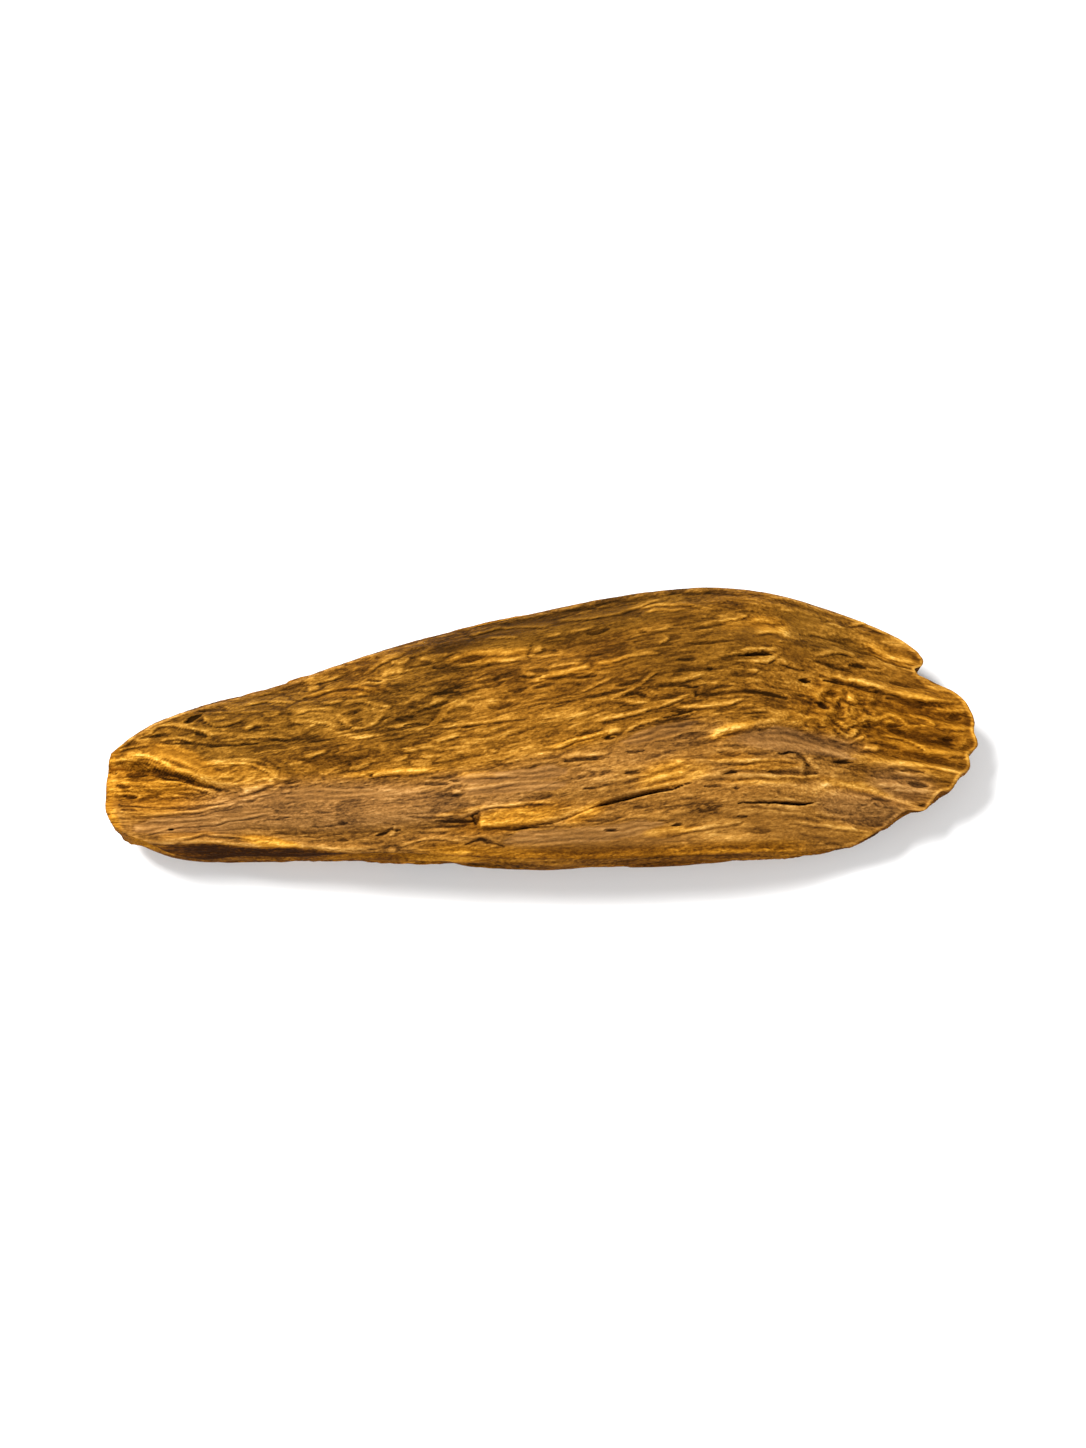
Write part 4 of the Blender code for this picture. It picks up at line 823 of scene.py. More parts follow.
def long_split(x, seen):
    """The split's groove, and the strip that stands proud above it."""
    start, end = SPLIT_PATH[0][0], SPLIT_PATH[-1][0]
    above = seen - profile(SPLIT_PATH, x)
    along = (x - start) / (end - start)
    opened = ramp(along, 0.0, SPLIT_OPENING) * ramp(along, 1.0, 1 - SPLIT_CLOSING)
    wide = ramp(along, SPLIT_WIDENS_FROM, SPLIT_WIDENS_TO)
    opened *= SPLIT_THIN_SHARE + (1 - SPLIT_THIN_SHARE) * wide
    groove = SPLIT_DEPTH * opened * ramp(np.abs(above), SPLIT_WIDTH * np.maximum(opened, 0.4), 0.0)
    strip = ramp(above, 0.0, STRIP_EDGE_WIDTH) * ramp(above, STRIP_WIDTH + STRIP_BACK_WIDTH, STRIP_WIDTH)
    started = ramp(along, 0.0, STRIP_START_SHARE)
    strip *= started * ramp(along, STRIP_FULL_SHARE + STRIP_FADE_SHARE, STRIP_FULL_SHARE)
    return STRIP_HEIGHT * strip - groove


def plate_step(x, seen):
    """A thin plate of wood that ends in a step on its right."""
    low = ramp(seen, STEP_LOW, STEP_LOW + STEP_EDGE_WIDTH)
    high = ramp(seen, STEP_HIGH + STEP_EDGE_WIDTH, STEP_HIGH)
    along = ramp(x, STEP_FROM, STEP_FULL) * ramp(x, STEP_TO + STEP_EDGE_WIDTH, STEP_TO)
    return STEP_HEIGHT * low * high * along


def knot_share(x, seen):
    """1 in the knot's middle, falling to 0 at its rim."""
    distance = np.hypot((x - KNOT_PLACE[0]) / KNOT_STRETCH, seen - KNOT_PLACE[1])
    return ramp(distance, KNOT_RADIUS, KNOT_CORE_SHARE * KNOT_RADIUS)


def knot_relief(x, seen):
    """Rough bumps and pits of the knot."""
    rough = noise_of(KNOT_BUMPS, x, seen) + noise_of(KNOT_GRIT, x, seen)
    return KNOT_HEIGHT * knot_share(x, seen) * rough


def hashed(column, row, seed):
    """A steady random number from 0 to 1 for each cell."""
    mixed = column.astype(np.int64) * COLUMN_FACTOR + row.astype(np.int64) * ROW_FACTOR
    mixed = (mixed + seed * SEED_FACTOR) & WORD_MASK
    mixed = ((mixed ^ (mixed >> 13)) * MIX_FACTOR) & WORD_MASK
    return ((mixed ^ (mixed >> 16)) & FRACTION_MASK) / (FRACTION_MASK + 1)


def splinter_layer(along, line, layer):
    """Lens-shaped splinters in jittered cells: the height of the highest one, from 0 to 1, and its tone."""
    offset, lane, reach, seed, kept = layer
    line = line + offset
    height, tone = np.zeros_like(along), np.zeros_like(along)
    near_row = np.floor(line / lane)
    for row in (near_row - 1, near_row, near_row + 1):
        shift = hashed(row, np.zeros_like(row), seed) * reach
        near_column = np.floor((along + shift) / reach)
        for column in (near_column - 1, near_column, near_column + 1):
            draws = [hashed(column, row, seed + k) for k in range(1, 9)]
            half_length = reach * (0.30 + 0.45 * draws[0])
            half_width = lane * (0.36 + 0.40 * draws[1])
            centre = (column + 0.5 + 0.6 * (draws[2] - 0.5)) * reach - shift
            u = np.clip((along - centre) / half_length, -1.0, 1.0)
            slant = 0.14 * (draws[3] - 0.5) * (along - centre) + 0.5 * lane * (draws[4] - 0.5) * u * u
            v = line - (row + 0.5 + 0.5 * (draws[5] - 0.5)) * lane - slant
            width = half_width * (1 - u * u) ** 0.7 + 1e-4
            lean = np.where(draws[6] < 0.68, 1.0, -1.0)
            slope = np.clip(0.5 - 0.5 * lean * v / width, 0.0, 1.0) ** 0.8
            steep = np.clip((width + lean * v) / 0.11, 0.0, 1.0)
            lifted = slope * steep * np.clip(width / (0.6 * half_width), 0.0, 1.0) * (0.5 + 0.5 * draws[7])
            lifted = np.where((np.abs(v) < width) & (draws[5] < kept), lifted, 0.0)
            higher = lifted > height
            height = np.where(higher, lifted, height)
            tone = np.where(higher, (2 * draws[4] - 1) * np.minimum(1.0, 4 * lifted), tone)
    return height, tone


def waved(along, line):
    """The grain line with the waves that the strands follow."""
    return line + noise_of(SLOW_WAVES, along, line) + noise_of(QUICK_WAVES, along, line)


def islands(noise, sharpness):
    """Plateaus with narrow valleys between them, from smooth noise."""
    return np.minimum(1.0, sharpness * np.abs(noise)) ** 0.8


def fibres(along, line, stretch):
    """Lens-shaped fibres at three widths with narrow gaps between: height from -0.6 to 0.4."""
    height = 0.0
    for length, width, seed, sharpness, share in FIBRE_LAYERS:
        noise = smooth_noise(along / (length * stretch), line / width, seed)
        height = height + share * islands(noise, sharpness)
    return height - FIBRE_MIDDLE


def blurred(grid, rounds):
    """The grid's values, evened out along and across."""
    for _ in range(rounds):
        grid = np.pad(grid, 1, mode="edge")
        grid = (grid[:-2] + 2 * grid[1:-1] + grid[2:]) / 4
        grid = (grid[:, :-2] + 2 * grid[:, 1:-1] + grid[:, 2:]) / 4
    return grid


def line_distance(points, x, y):
    """Distance from a smooth line through points, its side (back is positive), and place along it."""
    line = curve_through(points, MARK_STEPS * len(points))
    start, step = line[:-1], np.diff(line, axis=0)
    away_x, away_y = x[:, None] - start[:, 0], y[:, None] - start[:, 1]
    share = np.clip((away_x * step[:, 0] + away_y * step[:, 1]) / (step ** 2).sum(1), 0.0, 1.0)
    gap = np.hypot(away_x - share * step[:, 0], away_y - share * step[:, 1])
    best = gap.argmin(1)
    chosen = np.arange(len(x)), best
    side = np.sign(away_y[chosen] * step[best, 0] - away_x[chosen] * step[best, 1])
    return gap[chosen], side, (best + share[chosen]) / len(step)


def beside_line(points, x, y, margin):
    """The places within margin of the points' box, and how they lie beside the line through them.

    They come as their indices, line_distance's three arrays and the share of the line from them to
    its nearer end.
    """
    low, high = np.min(points, axis=0) - margin, np.max(points, axis=0) + margin
    near = np.nonzero((x > low[0]) & (x < high[0]) & (y > low[1]) & (y < high[1]))[0]
    gap, side, along = line_distance(points, x[near], y[near])
    return near, gap, side, along, np.minimum(along, 1 - along)


def ellipse_share(patch, x, seen, edge):
    """1 inside a turned ellipse, falling to 0 from an edge share inside its border to one outside."""
    centre_x, centre_y, half_length, half_width, turn = patch[:5]
    turn = np.radians(turn)
    dx, dy = x - centre_x, seen - centre_y
    along = (dx * np.cos(turn) + dy * np.sin(turn)) / half_length
    across = (dy * np.cos(turn) - dx * np.sin(turn)) / half_width
    return ramp(np.hypot(along, across), 1 + edge, 1 - edge)


def area_share(area, x, seen):
    """1 in the middle of an upright ellipse, falling to 0 round it."""
    (centre_x, centre_seen), (half_length, half_width), end, full = area
    return ramp(np.hypot((x - centre_x) / half_length, (seen - centre_seen) / half_width), end, full)


class Surface:
    """Looks of a set of places, and the relief that stands on them."""

    NAMES = ("cavity", "hollow", "tone", "light", "dark", "mauve", "olive", "orange", "calm")

    def __init__(self, shape):
        self.relief = np.zeros(shape)
        for name in self.NAMES:
            setattr(self, name, np.zeros(shape))

    def change_all(self, change):
        """Puts the relief and every look through the same change of their arrays."""
        for name in vars(self):
            setattr(self, name, change(getattr(self, name)))


def add_ridges(look, x, spot):
    """Raises the placed splinters: each one steep in front, with a gentle slope behind and a painted shadow
    along its front foot.
    """
    for width, height, light, points in RIDGES:
        near, gap, side, _, end = beside_line(points, x, spot, 4 * width)
        taper = ramp(end, -0.02, 0.16)
        signed = gap * np.where(side == 0, 1.0, side)
        behind = np.clip(1 - signed / (2.6 * width), 0.0, 1.0) ** 1.4
        before = np.clip(1 + signed / (0.75 * width * (0.3 + 0.7 * taper)), 0.0, 1.0) ** 0.7
        past = ramp(gap, 1.6 * width, 0.9 * width)
        at_end = np.where(end <= 0.0, past, 1.0)
        body = np.where(signed > 0, behind, before) * at_end
        lifted = height * (0.35 + 0.65 * taper) * body
        foot = ramp(-signed, 0.65 * width, 0.9 * width) * ramp(-signed, 1.9 * width, 1.0 * width) * at_end
        look.relief[near] = look.relief[near] * (1 - 0.45 * body) + lifted - 0.4 * height * foot
        look.light[near] = np.maximum(look.light[near], 1.15 * light * body * (0.4 + 0.6 * taper))
        look.dark[near] = np.maximum(look.dark[near], min(0.5, 3.0 * height) * foot * taper)


def smooth_faces(look, x, spot):
    """Evens out the smooth faces, stripes them along their length and paints a shadow along their back edge.
    """
    for first, last, mauve, points in FACES:
        near, gap, side, along, end = beside_line(points, x, spot, 2 * max(first, last))
        width = (first + (last - first) * along) * (0.4 + 0.6 * ramp(end, 0.0, 0.12))
        share = ramp(gap, 1.12 * width, 0.82 * width)
        phase = 2.0 * along + noise_of(STRIPE_WOBBLE, x[near], spot[near])
        stripes = np.cos(2 * np.pi * side * gap / FACE_STRIPE_SPACING + phase)
        look.relief[near] = look.relief[near] * (1 - 0.6 * share) + 0.02 * stripes * share
        look.mauve[near] = np.maximum(look.mauve[near], mauve * share)
        look.calm[near] = np.maximum(look.calm[near], 0.7 * share)
        look.orange[near] *= 1 - share
        look.olive[near] *= 1 - share
        look.tone[near] *= 1 - 0.7 * share
        look.light[near] = look.light[near] * (1 - 0.7 * share) + (0.24 + 0.26 * stripes) * share
        look.dark[near] *= 1 - share
        border = 1.15 * width
        outline = ramp(gap, 0.95 * width, border) * ramp(gap, border + 0.2, border) * (side > 0)
        look.relief[near] -= 0.03 * outline
        look.dark[near] = np.maximum(look.dark[near], 0.15 * outline)


def cut_grooves(look, x, spot):
    """Cuts the placed slits and pits, and paints shade in them, darker the deeper they are."""
    for width, depth, points in GROOVES:
        near, gap, _, _, end = beside_line(points, x, spot, 3 * width)
        thin = 0.45 + 0.55 * ramp(end, 0.0, 0.35)
        body = np.minimum(1.0, 1.5 * np.clip(1 - gap / (0.9 * width * thin), 0.0, 1.0))
        look.relief[near] -= depth * body
        look.dark[near] = np.maximum(look.dark[near], min(1.0, 2.8 * depth) * body)
        look.light[near] *= 1 - body


def top_base(x, y):
    """The top with its larger forms: where its points are seen, their grain line, spot and height.

    A point's spot is where it is seen once those forms are on the bare top.
    """
    seen = seen_across(x, y)
    line = grain_line(x, seen)
    base = crown_height(x, y) + gouge_relief(x, line) + noise_of(GRAIN_RIDGES, x, line)
    base -= left_scoop(x, seen)
    base += leaf_pad(x, seen) + plate_step(x, seen) + knot_relief(x, seen)
    spot = np.sin(VIEW_RISE) * y + np.cos(VIEW_RISE) * base - VIEW_SHIFT
    base += long_split(x, spot) - front_face(x, seen)
    return seen, line, spot, base


def tint_zones(look, x, spot, front, at_end):
    """Spreads the mauve, olive and orange of the wood."""
    for patches, name in ((MAUVE_PATCHES, "mauve"), (OLIVE_PATCHES, "olive"), (ORANGE_PATCHES, "orange")):
        shares = [patch[5] * ellipse_share(patch, x, spot, 0.5) for patch in patches]
        setattr(look, name, np.max(shares, axis=0))
    look.mauve = np.maximum(look.mauve, 0.42 * front * (1 - at_end))


def strew_fibres(look, x, seen, line, spot, front, at_end):
    """Fibres and splinters: rough and short towards the back, long and low along the front."""
    smooth = np.max([ellipse_share(patch, x, spot, 0.12) for patch in SMOOTH_PATCHES], axis=0)
    quiet = ellipse_share(QUIET_PATCH, x, seen, 0.35)
    rough = (1 - front) * (1 - 0.5 * at_end)
    choppy = rough * (0.6 + 0.4 * np.maximum(ramp(x, -3.0, -9.0), ramp(x, *FAN_ZONE)))
    wavy = waved(x, line)
    short, short_tone = splinter_layer(x, wavy, TOP_SHORT)
    wide, wide_tone = splinter_layer(x, wavy, TOP_WIDE)
    thin, thin_tone = splinter_layer(x, wavy, TOP_THIN)
    tiny, tiny_tone = splinter_layer(x, wavy, TOP_TINY)
    slits, _ = splinter_layer(x, wavy, TOP_SLITS)

    look.relief = 0.15 * (1 - rough) * (1 - 0.6 * at_end) * fibres(x, wavy + 0.3 * (wavy - line), 2.0)
    look.relief += 0.145 * rough * fibres(x, 1.2 * wavy, 0.6)
    share = (0.55 + 0.45 * rough) * (1 - 0.8 * smooth) * (1 - 0.35 * quiet)
    short_height, wide_height = 0.14 * short * (1 - 0.5 * choppy), 0.15 * wide * (1 - 0.7 * choppy)
    heights = [short_height, wide_height, 0.10 * thin, 0.14 * tiny * choppy]
    look.relief += share * np.max(heights, axis=0)
    look.relief -= 0.15 * slits * (1 - smooth)
    look.relief *= 1 - 0.55 * smooth

    look.tone = share * np.where(wide > short, wide_tone, np.where(short > 0, short_tone, thin_tone))
    look.tone += choppy * (tiny_tone - look.tone) * np.minimum(1.0, 4 * tiny)
    pale = np.maximum(area_share(SCOOP_PALE_AREA, x, spot), 0.7 * area_share(FRONT_PALE_AREA, x, spot))
    look.light = 0.7 * ramp(look.tone, 0.45, 1.0) * (1 - 0.3 * front) + 0.35 * pale
    teeth = ramp(x, *TEETH_ZONE)
    # Painted shade in the slits and in the bottoms of the flutes at the right end
    look.dark = 0.5 * slits * (1 - smooth) + 0.25 * area_share(SHADE_AREA, x, spot)
    look.dark += (0.1 + 0.2 * flute_hollow(line)) * teeth
    look.calm = np.max([0.5 * pale, 0.35 * teeth, 0.5 * smooth, 0.3 * quiet], axis=0)


def ring_knots(look, x, spot):
    """Rings round small knots."""
    for ring_x, ring_seen, half_length, half_width, spacing in RINGS:
        radius = np.hypot((x - ring_x) / half_length, (spot - ring_seen) / half_width)
        radius += noise_of(RING_WOBBLE, x, spot)
        share = ramp(radius, 1.1, 0.7)
        wave = np.cos(2 * np.pi * radius * half_width / spacing)
        look.relief = look.relief * (1 - 0.4 * share) + 0.05 * wave * share


def place_marks(look, x, spot):
    """The placed faces, splinters, slits and golden flakes, all on slightly ragged lines."""
    ragged_x = x + noise_of(MARK_SWAY_ALONG, x, spot)
    ragged_spot = spot + noise_of(MARK_SWAY_FINE, x, spot) + noise_of(MARK_SWAY_BROAD, x, spot)
    look.change_all(np.ravel)
    for place in (smooth_faces, add_ridges, cut_grooves):
        place(look, ragged_x.ravel(), ragged_spot.ravel())
    look.change_all(lambda values: values.reshape(x.shape))
    for patch in GOLD_PATCHES:
        share = patch[5] * ellipse_share(patch, ragged_x, ragged_spot, 0.25)
        look.light = np.maximum(look.light, 0.8 * share * (1 - look.dark))
        look.orange = np.maximum(look.orange, 0.65 * share)


def shade_areas(look, x, spot):
    """The small pale and dark areas."""
    level = sum(area[5] * ellipse_share(area, x, spot, 0.5) for area in AREAS)
    look.light += 0.75 * np.maximum(level, 0.0)
    look.dark += 0.48 * np.maximum(-level, 0.0)


def finish_rim(look, x, y, seen, line, rim_gap, at_end):
    """The thin lip round the rim with a painted highlight on it, and the front face in painted shade under a
    lip with a painted highlight.
    """
    below = ramp(profile(FACE_LIP, x) - seen, 0.02, 0.25) * ramp(x, FACE_FROM, FACE_FULL)
    left_tip, fan = ramp(x, *LEFT_TIP_ZONE), ramp(x, *FAN_ZONE)
    in_front = y < profile(FRONT_FLOW, x) + FRONT_EDGE_WIDTH
    scoop_corner = in_front * ramp(x, *SCOOP_CORNER_ZONE)
    at_back = ramp(line, *BACK_ZONE) * (1 - fan) * (1 - 0.8 * ramp(np.abs(x + 5.5), 5.5, 3.5))

    # The lip's painted highlight is plainest at the right end and along the back, and the groove just inside
    # it gets painted shade
    lip = ramp(rim_gap, 0.34 + 0.8 * left_tip, 0.14 + 0.1 * left_tip)
    in_fan = fan * (1 - 0.7 * in_front * ramp(x, 26.0, 24.5))
    share = np.max([in_fan, 0.65 * at_back, left_tip], axis=0)
    share = np.maximum(share, 0.45 * in_front * ramp(x, -9.5, -7.0)) * (1 - below)
    share = np.maximum(share, 0.2 * scoop_corner)
    look.dark *= 1 - 0.8 * lip * share
    look.light = np.maximum(look.light, (1.1 - 0.55 * left_tip) * lip * share)
    look.orange = np.maximum(look.orange, 0.9 * lip * left_tip)
    look.mauve = np.maximum(look.mauve, 0.35 * lip * at_back)
    groove = ramp(rim_gap, 0.8, 0.6) * ramp(rim_gap, 0.34, 0.46) * share * (1 - left_tip)
    groove *= 1 - 0.7 * at_end
    look.relief += 0.08 * lip * share * (1 - left_tip) - 0.07 * groove
    look.dark = np.maximum(look.dark, 0.3 * groove)

    # The front face, painted in shade under its lip, which gets a painted highlight, and a strip of painted
    # shade along the front rim
    above = ramp(seen - profile(FACE_LIP, x), 0.42, 0.15) * ramp(x, -28.0, -26.0) * ramp(x, -8.0, -11.0)
    shaded = below * (1 - 0.35 * lip * scoop_corner)
    look.light = np.maximum(look.light, 0.9 * above * (1 - look.dark)) * (1 - shaded)
    rim_shade = in_front * ramp(rim_gap, 1.0, 0.3) * ramp(x, -10.0, -6.0) * ramp(x, 20.0, 16.0)
    look.dark = np.max([look.dark, 1.35 * shaded, 0.4 * rim_shade], axis=0)
    look.mauve *= 1 - np.maximum(below, 0.8 * rim_shade)
    look.orange = np.max([look.orange, 0.9 * below, 0.8 * rim_shade], axis=0)


def top_surface(x, y, rim_gap):
    """The top's height and looks at a grid of places (x, y) that lie rim_gap inside the outline."""
    seen, line, spot, base = top_base(x, y)
    front = ramp(line + noise_of(FRONT_WANDER, x, seen), *FRONT_ZONE)
    at_end = ramp(x, *RIGHT_ZONE)
    look = Surface(x.shape)
    tint_zones(look, x, spot, front, at_end)
    strew_fibres(look, x, seen, line, spot, front, at_end)
    ring_knots(look, x, spot)
    place_marks(look, x, spot)
    shade_areas(look, x, spot)
    finish_rim(look, x, y, seen, line, rim_gap, at_end)

    # Painted shading of the relief: lighter where it stands up, darker in the gaps between fibres and in
    # broad hollows
    height = base + look.relief
    cavity = (height - blurred(height, CAVITY_BLUR)) / CAVITY_DEPTH
    hollow = (height - blurred(height, HOLLOW_BLUR)) / HOLLOW_DEPTH
    hollow *= (1 - 0.75 * at_end) * ramp(rim_gap, 0.2, 1.6)
    look.cavity, look.hollow = np.clip(cavity, -1.0, 1.0), np.clip(hollow, -1.0, 1.0)
    return height, look


def under_height(x, y):
    """Height of the underside: level where it rests, with hewn facets that rise to the edges."""
    facets = (
        BACK_BEVEL_SLOPE * (y - profile(BACK_FLOW, x) + BACK_BEVEL_INSET),
        FRONT_BEVEL_SLOPE * (profile(FRONT_FLOW, x) + FRONT_BEVEL_INSET - y),
        RIGHT_BEVEL_SLOPE * (x - RIGHT_BEVEL_FROM),
        LEFT_BEVEL_SLOPE * (LEFT_BEVEL_FROM - x),
    )
    return np.maximum(0.0, np.max(facets, axis=0))


def outline_sides():
    """The four sides of the outline: front and back run to +X, the ends run to the back edge."""
    front = curve_through(FRONT_EDGE, CELLS_ALONG)
    back = curve_through(BACK_EDGE, CELLS_ALONG)
    left = curve_through(LEFT_END, CELLS_ACROSS)
    right = curve_through(RIGHT_END, CELLS_ACROSS)
    return front, back, left, right


def outline_border(sides):
    """One closed loop of points round the outline, from its four sides."""
    front, back, left, right = sides
    return np.concatenate([front[:-1], right[:-1], back[:0:-1], left[:0:-1]])


def grid_rim(columns, rows):
    """Indices (column, row) of a grid's border, once round from the front left corner."""
    front = [(i, 0) for i in range(columns)]
    right = [(columns, j) for j in range(rows)]
    back = [(i, rows) for i in range(columns, 0, -1)]
    left = [(0, j) for j in range(rows, 0, -1)]
    return np.array(front + right + back + left)


def fill_patch(border, columns, rows):
    """Points of a grid that spans the closed border, blended from its four sides."""
    rim = grid_rim(columns, rows)
    grid = np.zeros((columns + 1, rows + 1, 2))
    grid[rim[:, 0], rim[:, 1]] = border
    u = np.linspace(0.0, 1.0, columns + 1)[:, None, None]
    v = np.linspace(0.0, 1.0, rows + 1)[None, :, None]
    lengthwise = (1 - v) * grid[:, :1] + v * grid[:, -1:]
    crosswise = (1 - u) * grid[:1] + u * grid[-1:]
    low_corners = (1 - u) * grid[0, 0] + u * grid[-1, 0]
    high_corners = (1 - u) * grid[0, -1] + u * grid[-1, -1]
    return lengthwise + crosswise - (1 - v) * low_corners - v * high_corners


def smoothed(border, rounds):
    """The border with its teeth and notches smoothed away."""
    for _ in range(rounds):
        border = (np.roll(border, 1, axis=0) + 2 * border + np.roll(border, -1, axis=0)) / 4
    return border


def inward_directions(border):
    """Unit vectors that point into the outline at each point of the border."""
    along = np.roll(border, -2, axis=0) - np.roll(border, 2, axis=0)
    inward = np.stack([-along[:, 1], along[:, 0]], 1)
    return inward / np.linalg.norm(inward, axis=1, keepdims=True)


def gap_to_border(points, border):
    """Distance from each point to the nearest border point."""
    gap = np.full(len(points), np.inf)
    for first in range(0, len(border), BORDER_BLOCK):
        part = border[first:first + BORDER_BLOCK]
        away = np.hypot(points[:, None, 0] - part[:, 0], points[:, None, 1] - part[:, 1])
        gap = np.minimum(gap, away.min(1))
    return gap


class Shell:
    """Points, faces and looks of the closed surface, gathered sheet by sheet."""

    def __init__(self):
        self.points = []
        self.faces = []
        self.looks = {name: [] for name in Surface.NAMES}
        self.count = 0

    def add_points(self, points, look):
        """Adds points with their looks, and gives the index of each."""
        first = self.count
        self.points.append(points)
        for name in Surface.NAMES:
            self.looks[name].append(getattr(look, name).ravel())
        self.count += len(points)
        return np.arange(first, self.count)

    def add_faces(self, *corners):
        """Adds one face for each row of corner indices."""
        self.faces.extend(np.stack(corners, -1).reshape(-1, len(corners)).tolist())

    def add_grid(self, index, faces_up):
        """Faces between the points of a grid of indices."""
        corners = [index[:-1, :-1], index[1:, :-1], index[1:, 1:], index[:-1, 1:]]
        self.add_faces(*(corners if faces_up else corners[::-1]))

    def add_band(self, upper, lower):
        """Faces between two rings of the same count, the first above the second."""
        self.add_faces(lower, np.roll(lower, -1), np.roll(upper, -1), upper)

    def add_halving_band(self, upper, lower):
        """Faces between a ring and one below it with half as many points."""
        start, middle, end = upper[::2], upper[1::2], np.roll(upper[::2], -1)
        after = np.roll(lower, -1)
        self.add_faces(lower, middle, start)
        self.add_faces(lower, after, middle)
        self.add_faces(after, end, middle)


def wall_looks(along, line, share_down, height):
    """Looks of the edge wall: fibres and splinters that fade out at the rim and the foot."""
    look = Surface(len(along))
    wavy = line + 60.0 + 0.3 * (waved(along, line + 60.0) - line - 60.0)
    short, short_tone = splinter_layer(along, wavy, WALL_SHORT)
    wide, wide_tone = splinter_layer(along, wavy, WALL_WIDE)
    slits, _ = splinter_layer(along, wavy, WALL_SLITS)
    lifted = np.maximum(0.20 * short, 0.28 * wide) - 0.2 * slits
    fine = fibres(along, 0.75 * wavy, 2.6)
    broad = noise_of(WALL_SWELL, along, line)
    fade = ramp(share_down, 0.02, 0.15) * ramp(share_down, 1.0, 0.9) * np.clip(height / 2.0, 0.3, 1.0)
    look.relief = (0.26 * fine + lifted - 0.05 + 0.22 * broad) * fade
    look.tone = np.where(wide > short, wide_tone, short_tone)
    # Painted shading: the wall's fibres and splinters lighter where they stand out and darker between them
    look.cavity = np.clip(2.2 * fine + 4.0 * (lifted - 0.08), -1.0, 1.0)
    # Darker throughout, and painted shade towards the set-in foot, in the sunken swells and in the slits
    look.dark = 0.25 + 0.25 * ramp(share_down, 0.15, 0.9) + 0.15 * ramp(-broad, 0.1, 0.7) + 0.4 * slits
    look.light = 0.5 * ramp(look.tone, 0.4, 1.0)
    look.olive = 0.35 + noise_of(WALL_OLIVE, along, line)
    look.orange = 0.55 + noise_of(WALL_ORANGE, along, line)
    look.mauve = 0.5 * ramp(noise_of(WALL_MAUVE, along, line), 0.1, 0.6)

    # The front left corner is lighter and more golden, like the rim above it, with most of the wall's
    # darkening taken off
    golden_corner = ramp(along, -25.5, -27.5) * ramp(share_down, 0.6, 0.35)
    look.dark *= 1 - 0.75 * golden_corner
    look.light = np.maximum(look.light, 0.35 * golden_corner)
    look.mauve *= 1 - golden_corner
    return look


def under_looks(x, y, rim_gap):
    """Looks of the underside: long low fibres and the broad marks of the blade."""
    look = Surface(len(x))
    line = y + 0.05 * x
    wavy = waved(x + 200.0, line)
    short, short_tone = splinter_layer(x, wavy, UNDER_SHORT)
    wide, wide_tone = splinter_layer(x, wavy, UNDER_WIDE)
    slits, _ = splinter_layer(x, wavy, UNDER_SLITS)
    lifted = np.maximum(0.14 * short, 0.20 * wide)
    fine = fibres(x, wavy, 1.6)
    look.tone = np.where(wide > short, wide_tone, short_tone)
    look.light = 0.9 * ramp(look.tone, 0.35, 1.0)
    # Painted shade in the slits, with dark streaks of the wood
    look.dark = 0.7 * slits + 0.4 * ramp(noise_of(UNDER_DARK, x, line), 0.1, 0.7)
    look.mauve = 0.3 + noise_of(UNDER_MAUVE, x, y)
    look.orange = 0.5 * ramp(noise_of(UNDER_ORANGE, x, line), 0.0, 0.6)
    cuts = np.abs(noise_of(UNDER_CUTS, x, line))
    # Painted shading: darker in the fibre gaps and in the blade's cuts, which lie deeper in the wood as seen
    # from below
    look.cavity = np.clip(-1.6 * fine - 3.0 * (lifted - 0.06), -1.0, 1.0)
    look.hollow = 0.6 - 1.6 * cuts
    look.relief = 0.12 + 0.16 * fine + lifted + 0.5 * cuts + 0.2 * slits
    look.relief = (look.relief - look.relief.min()) * ramp(rim_gap, 0.0, 1.2)
    return look


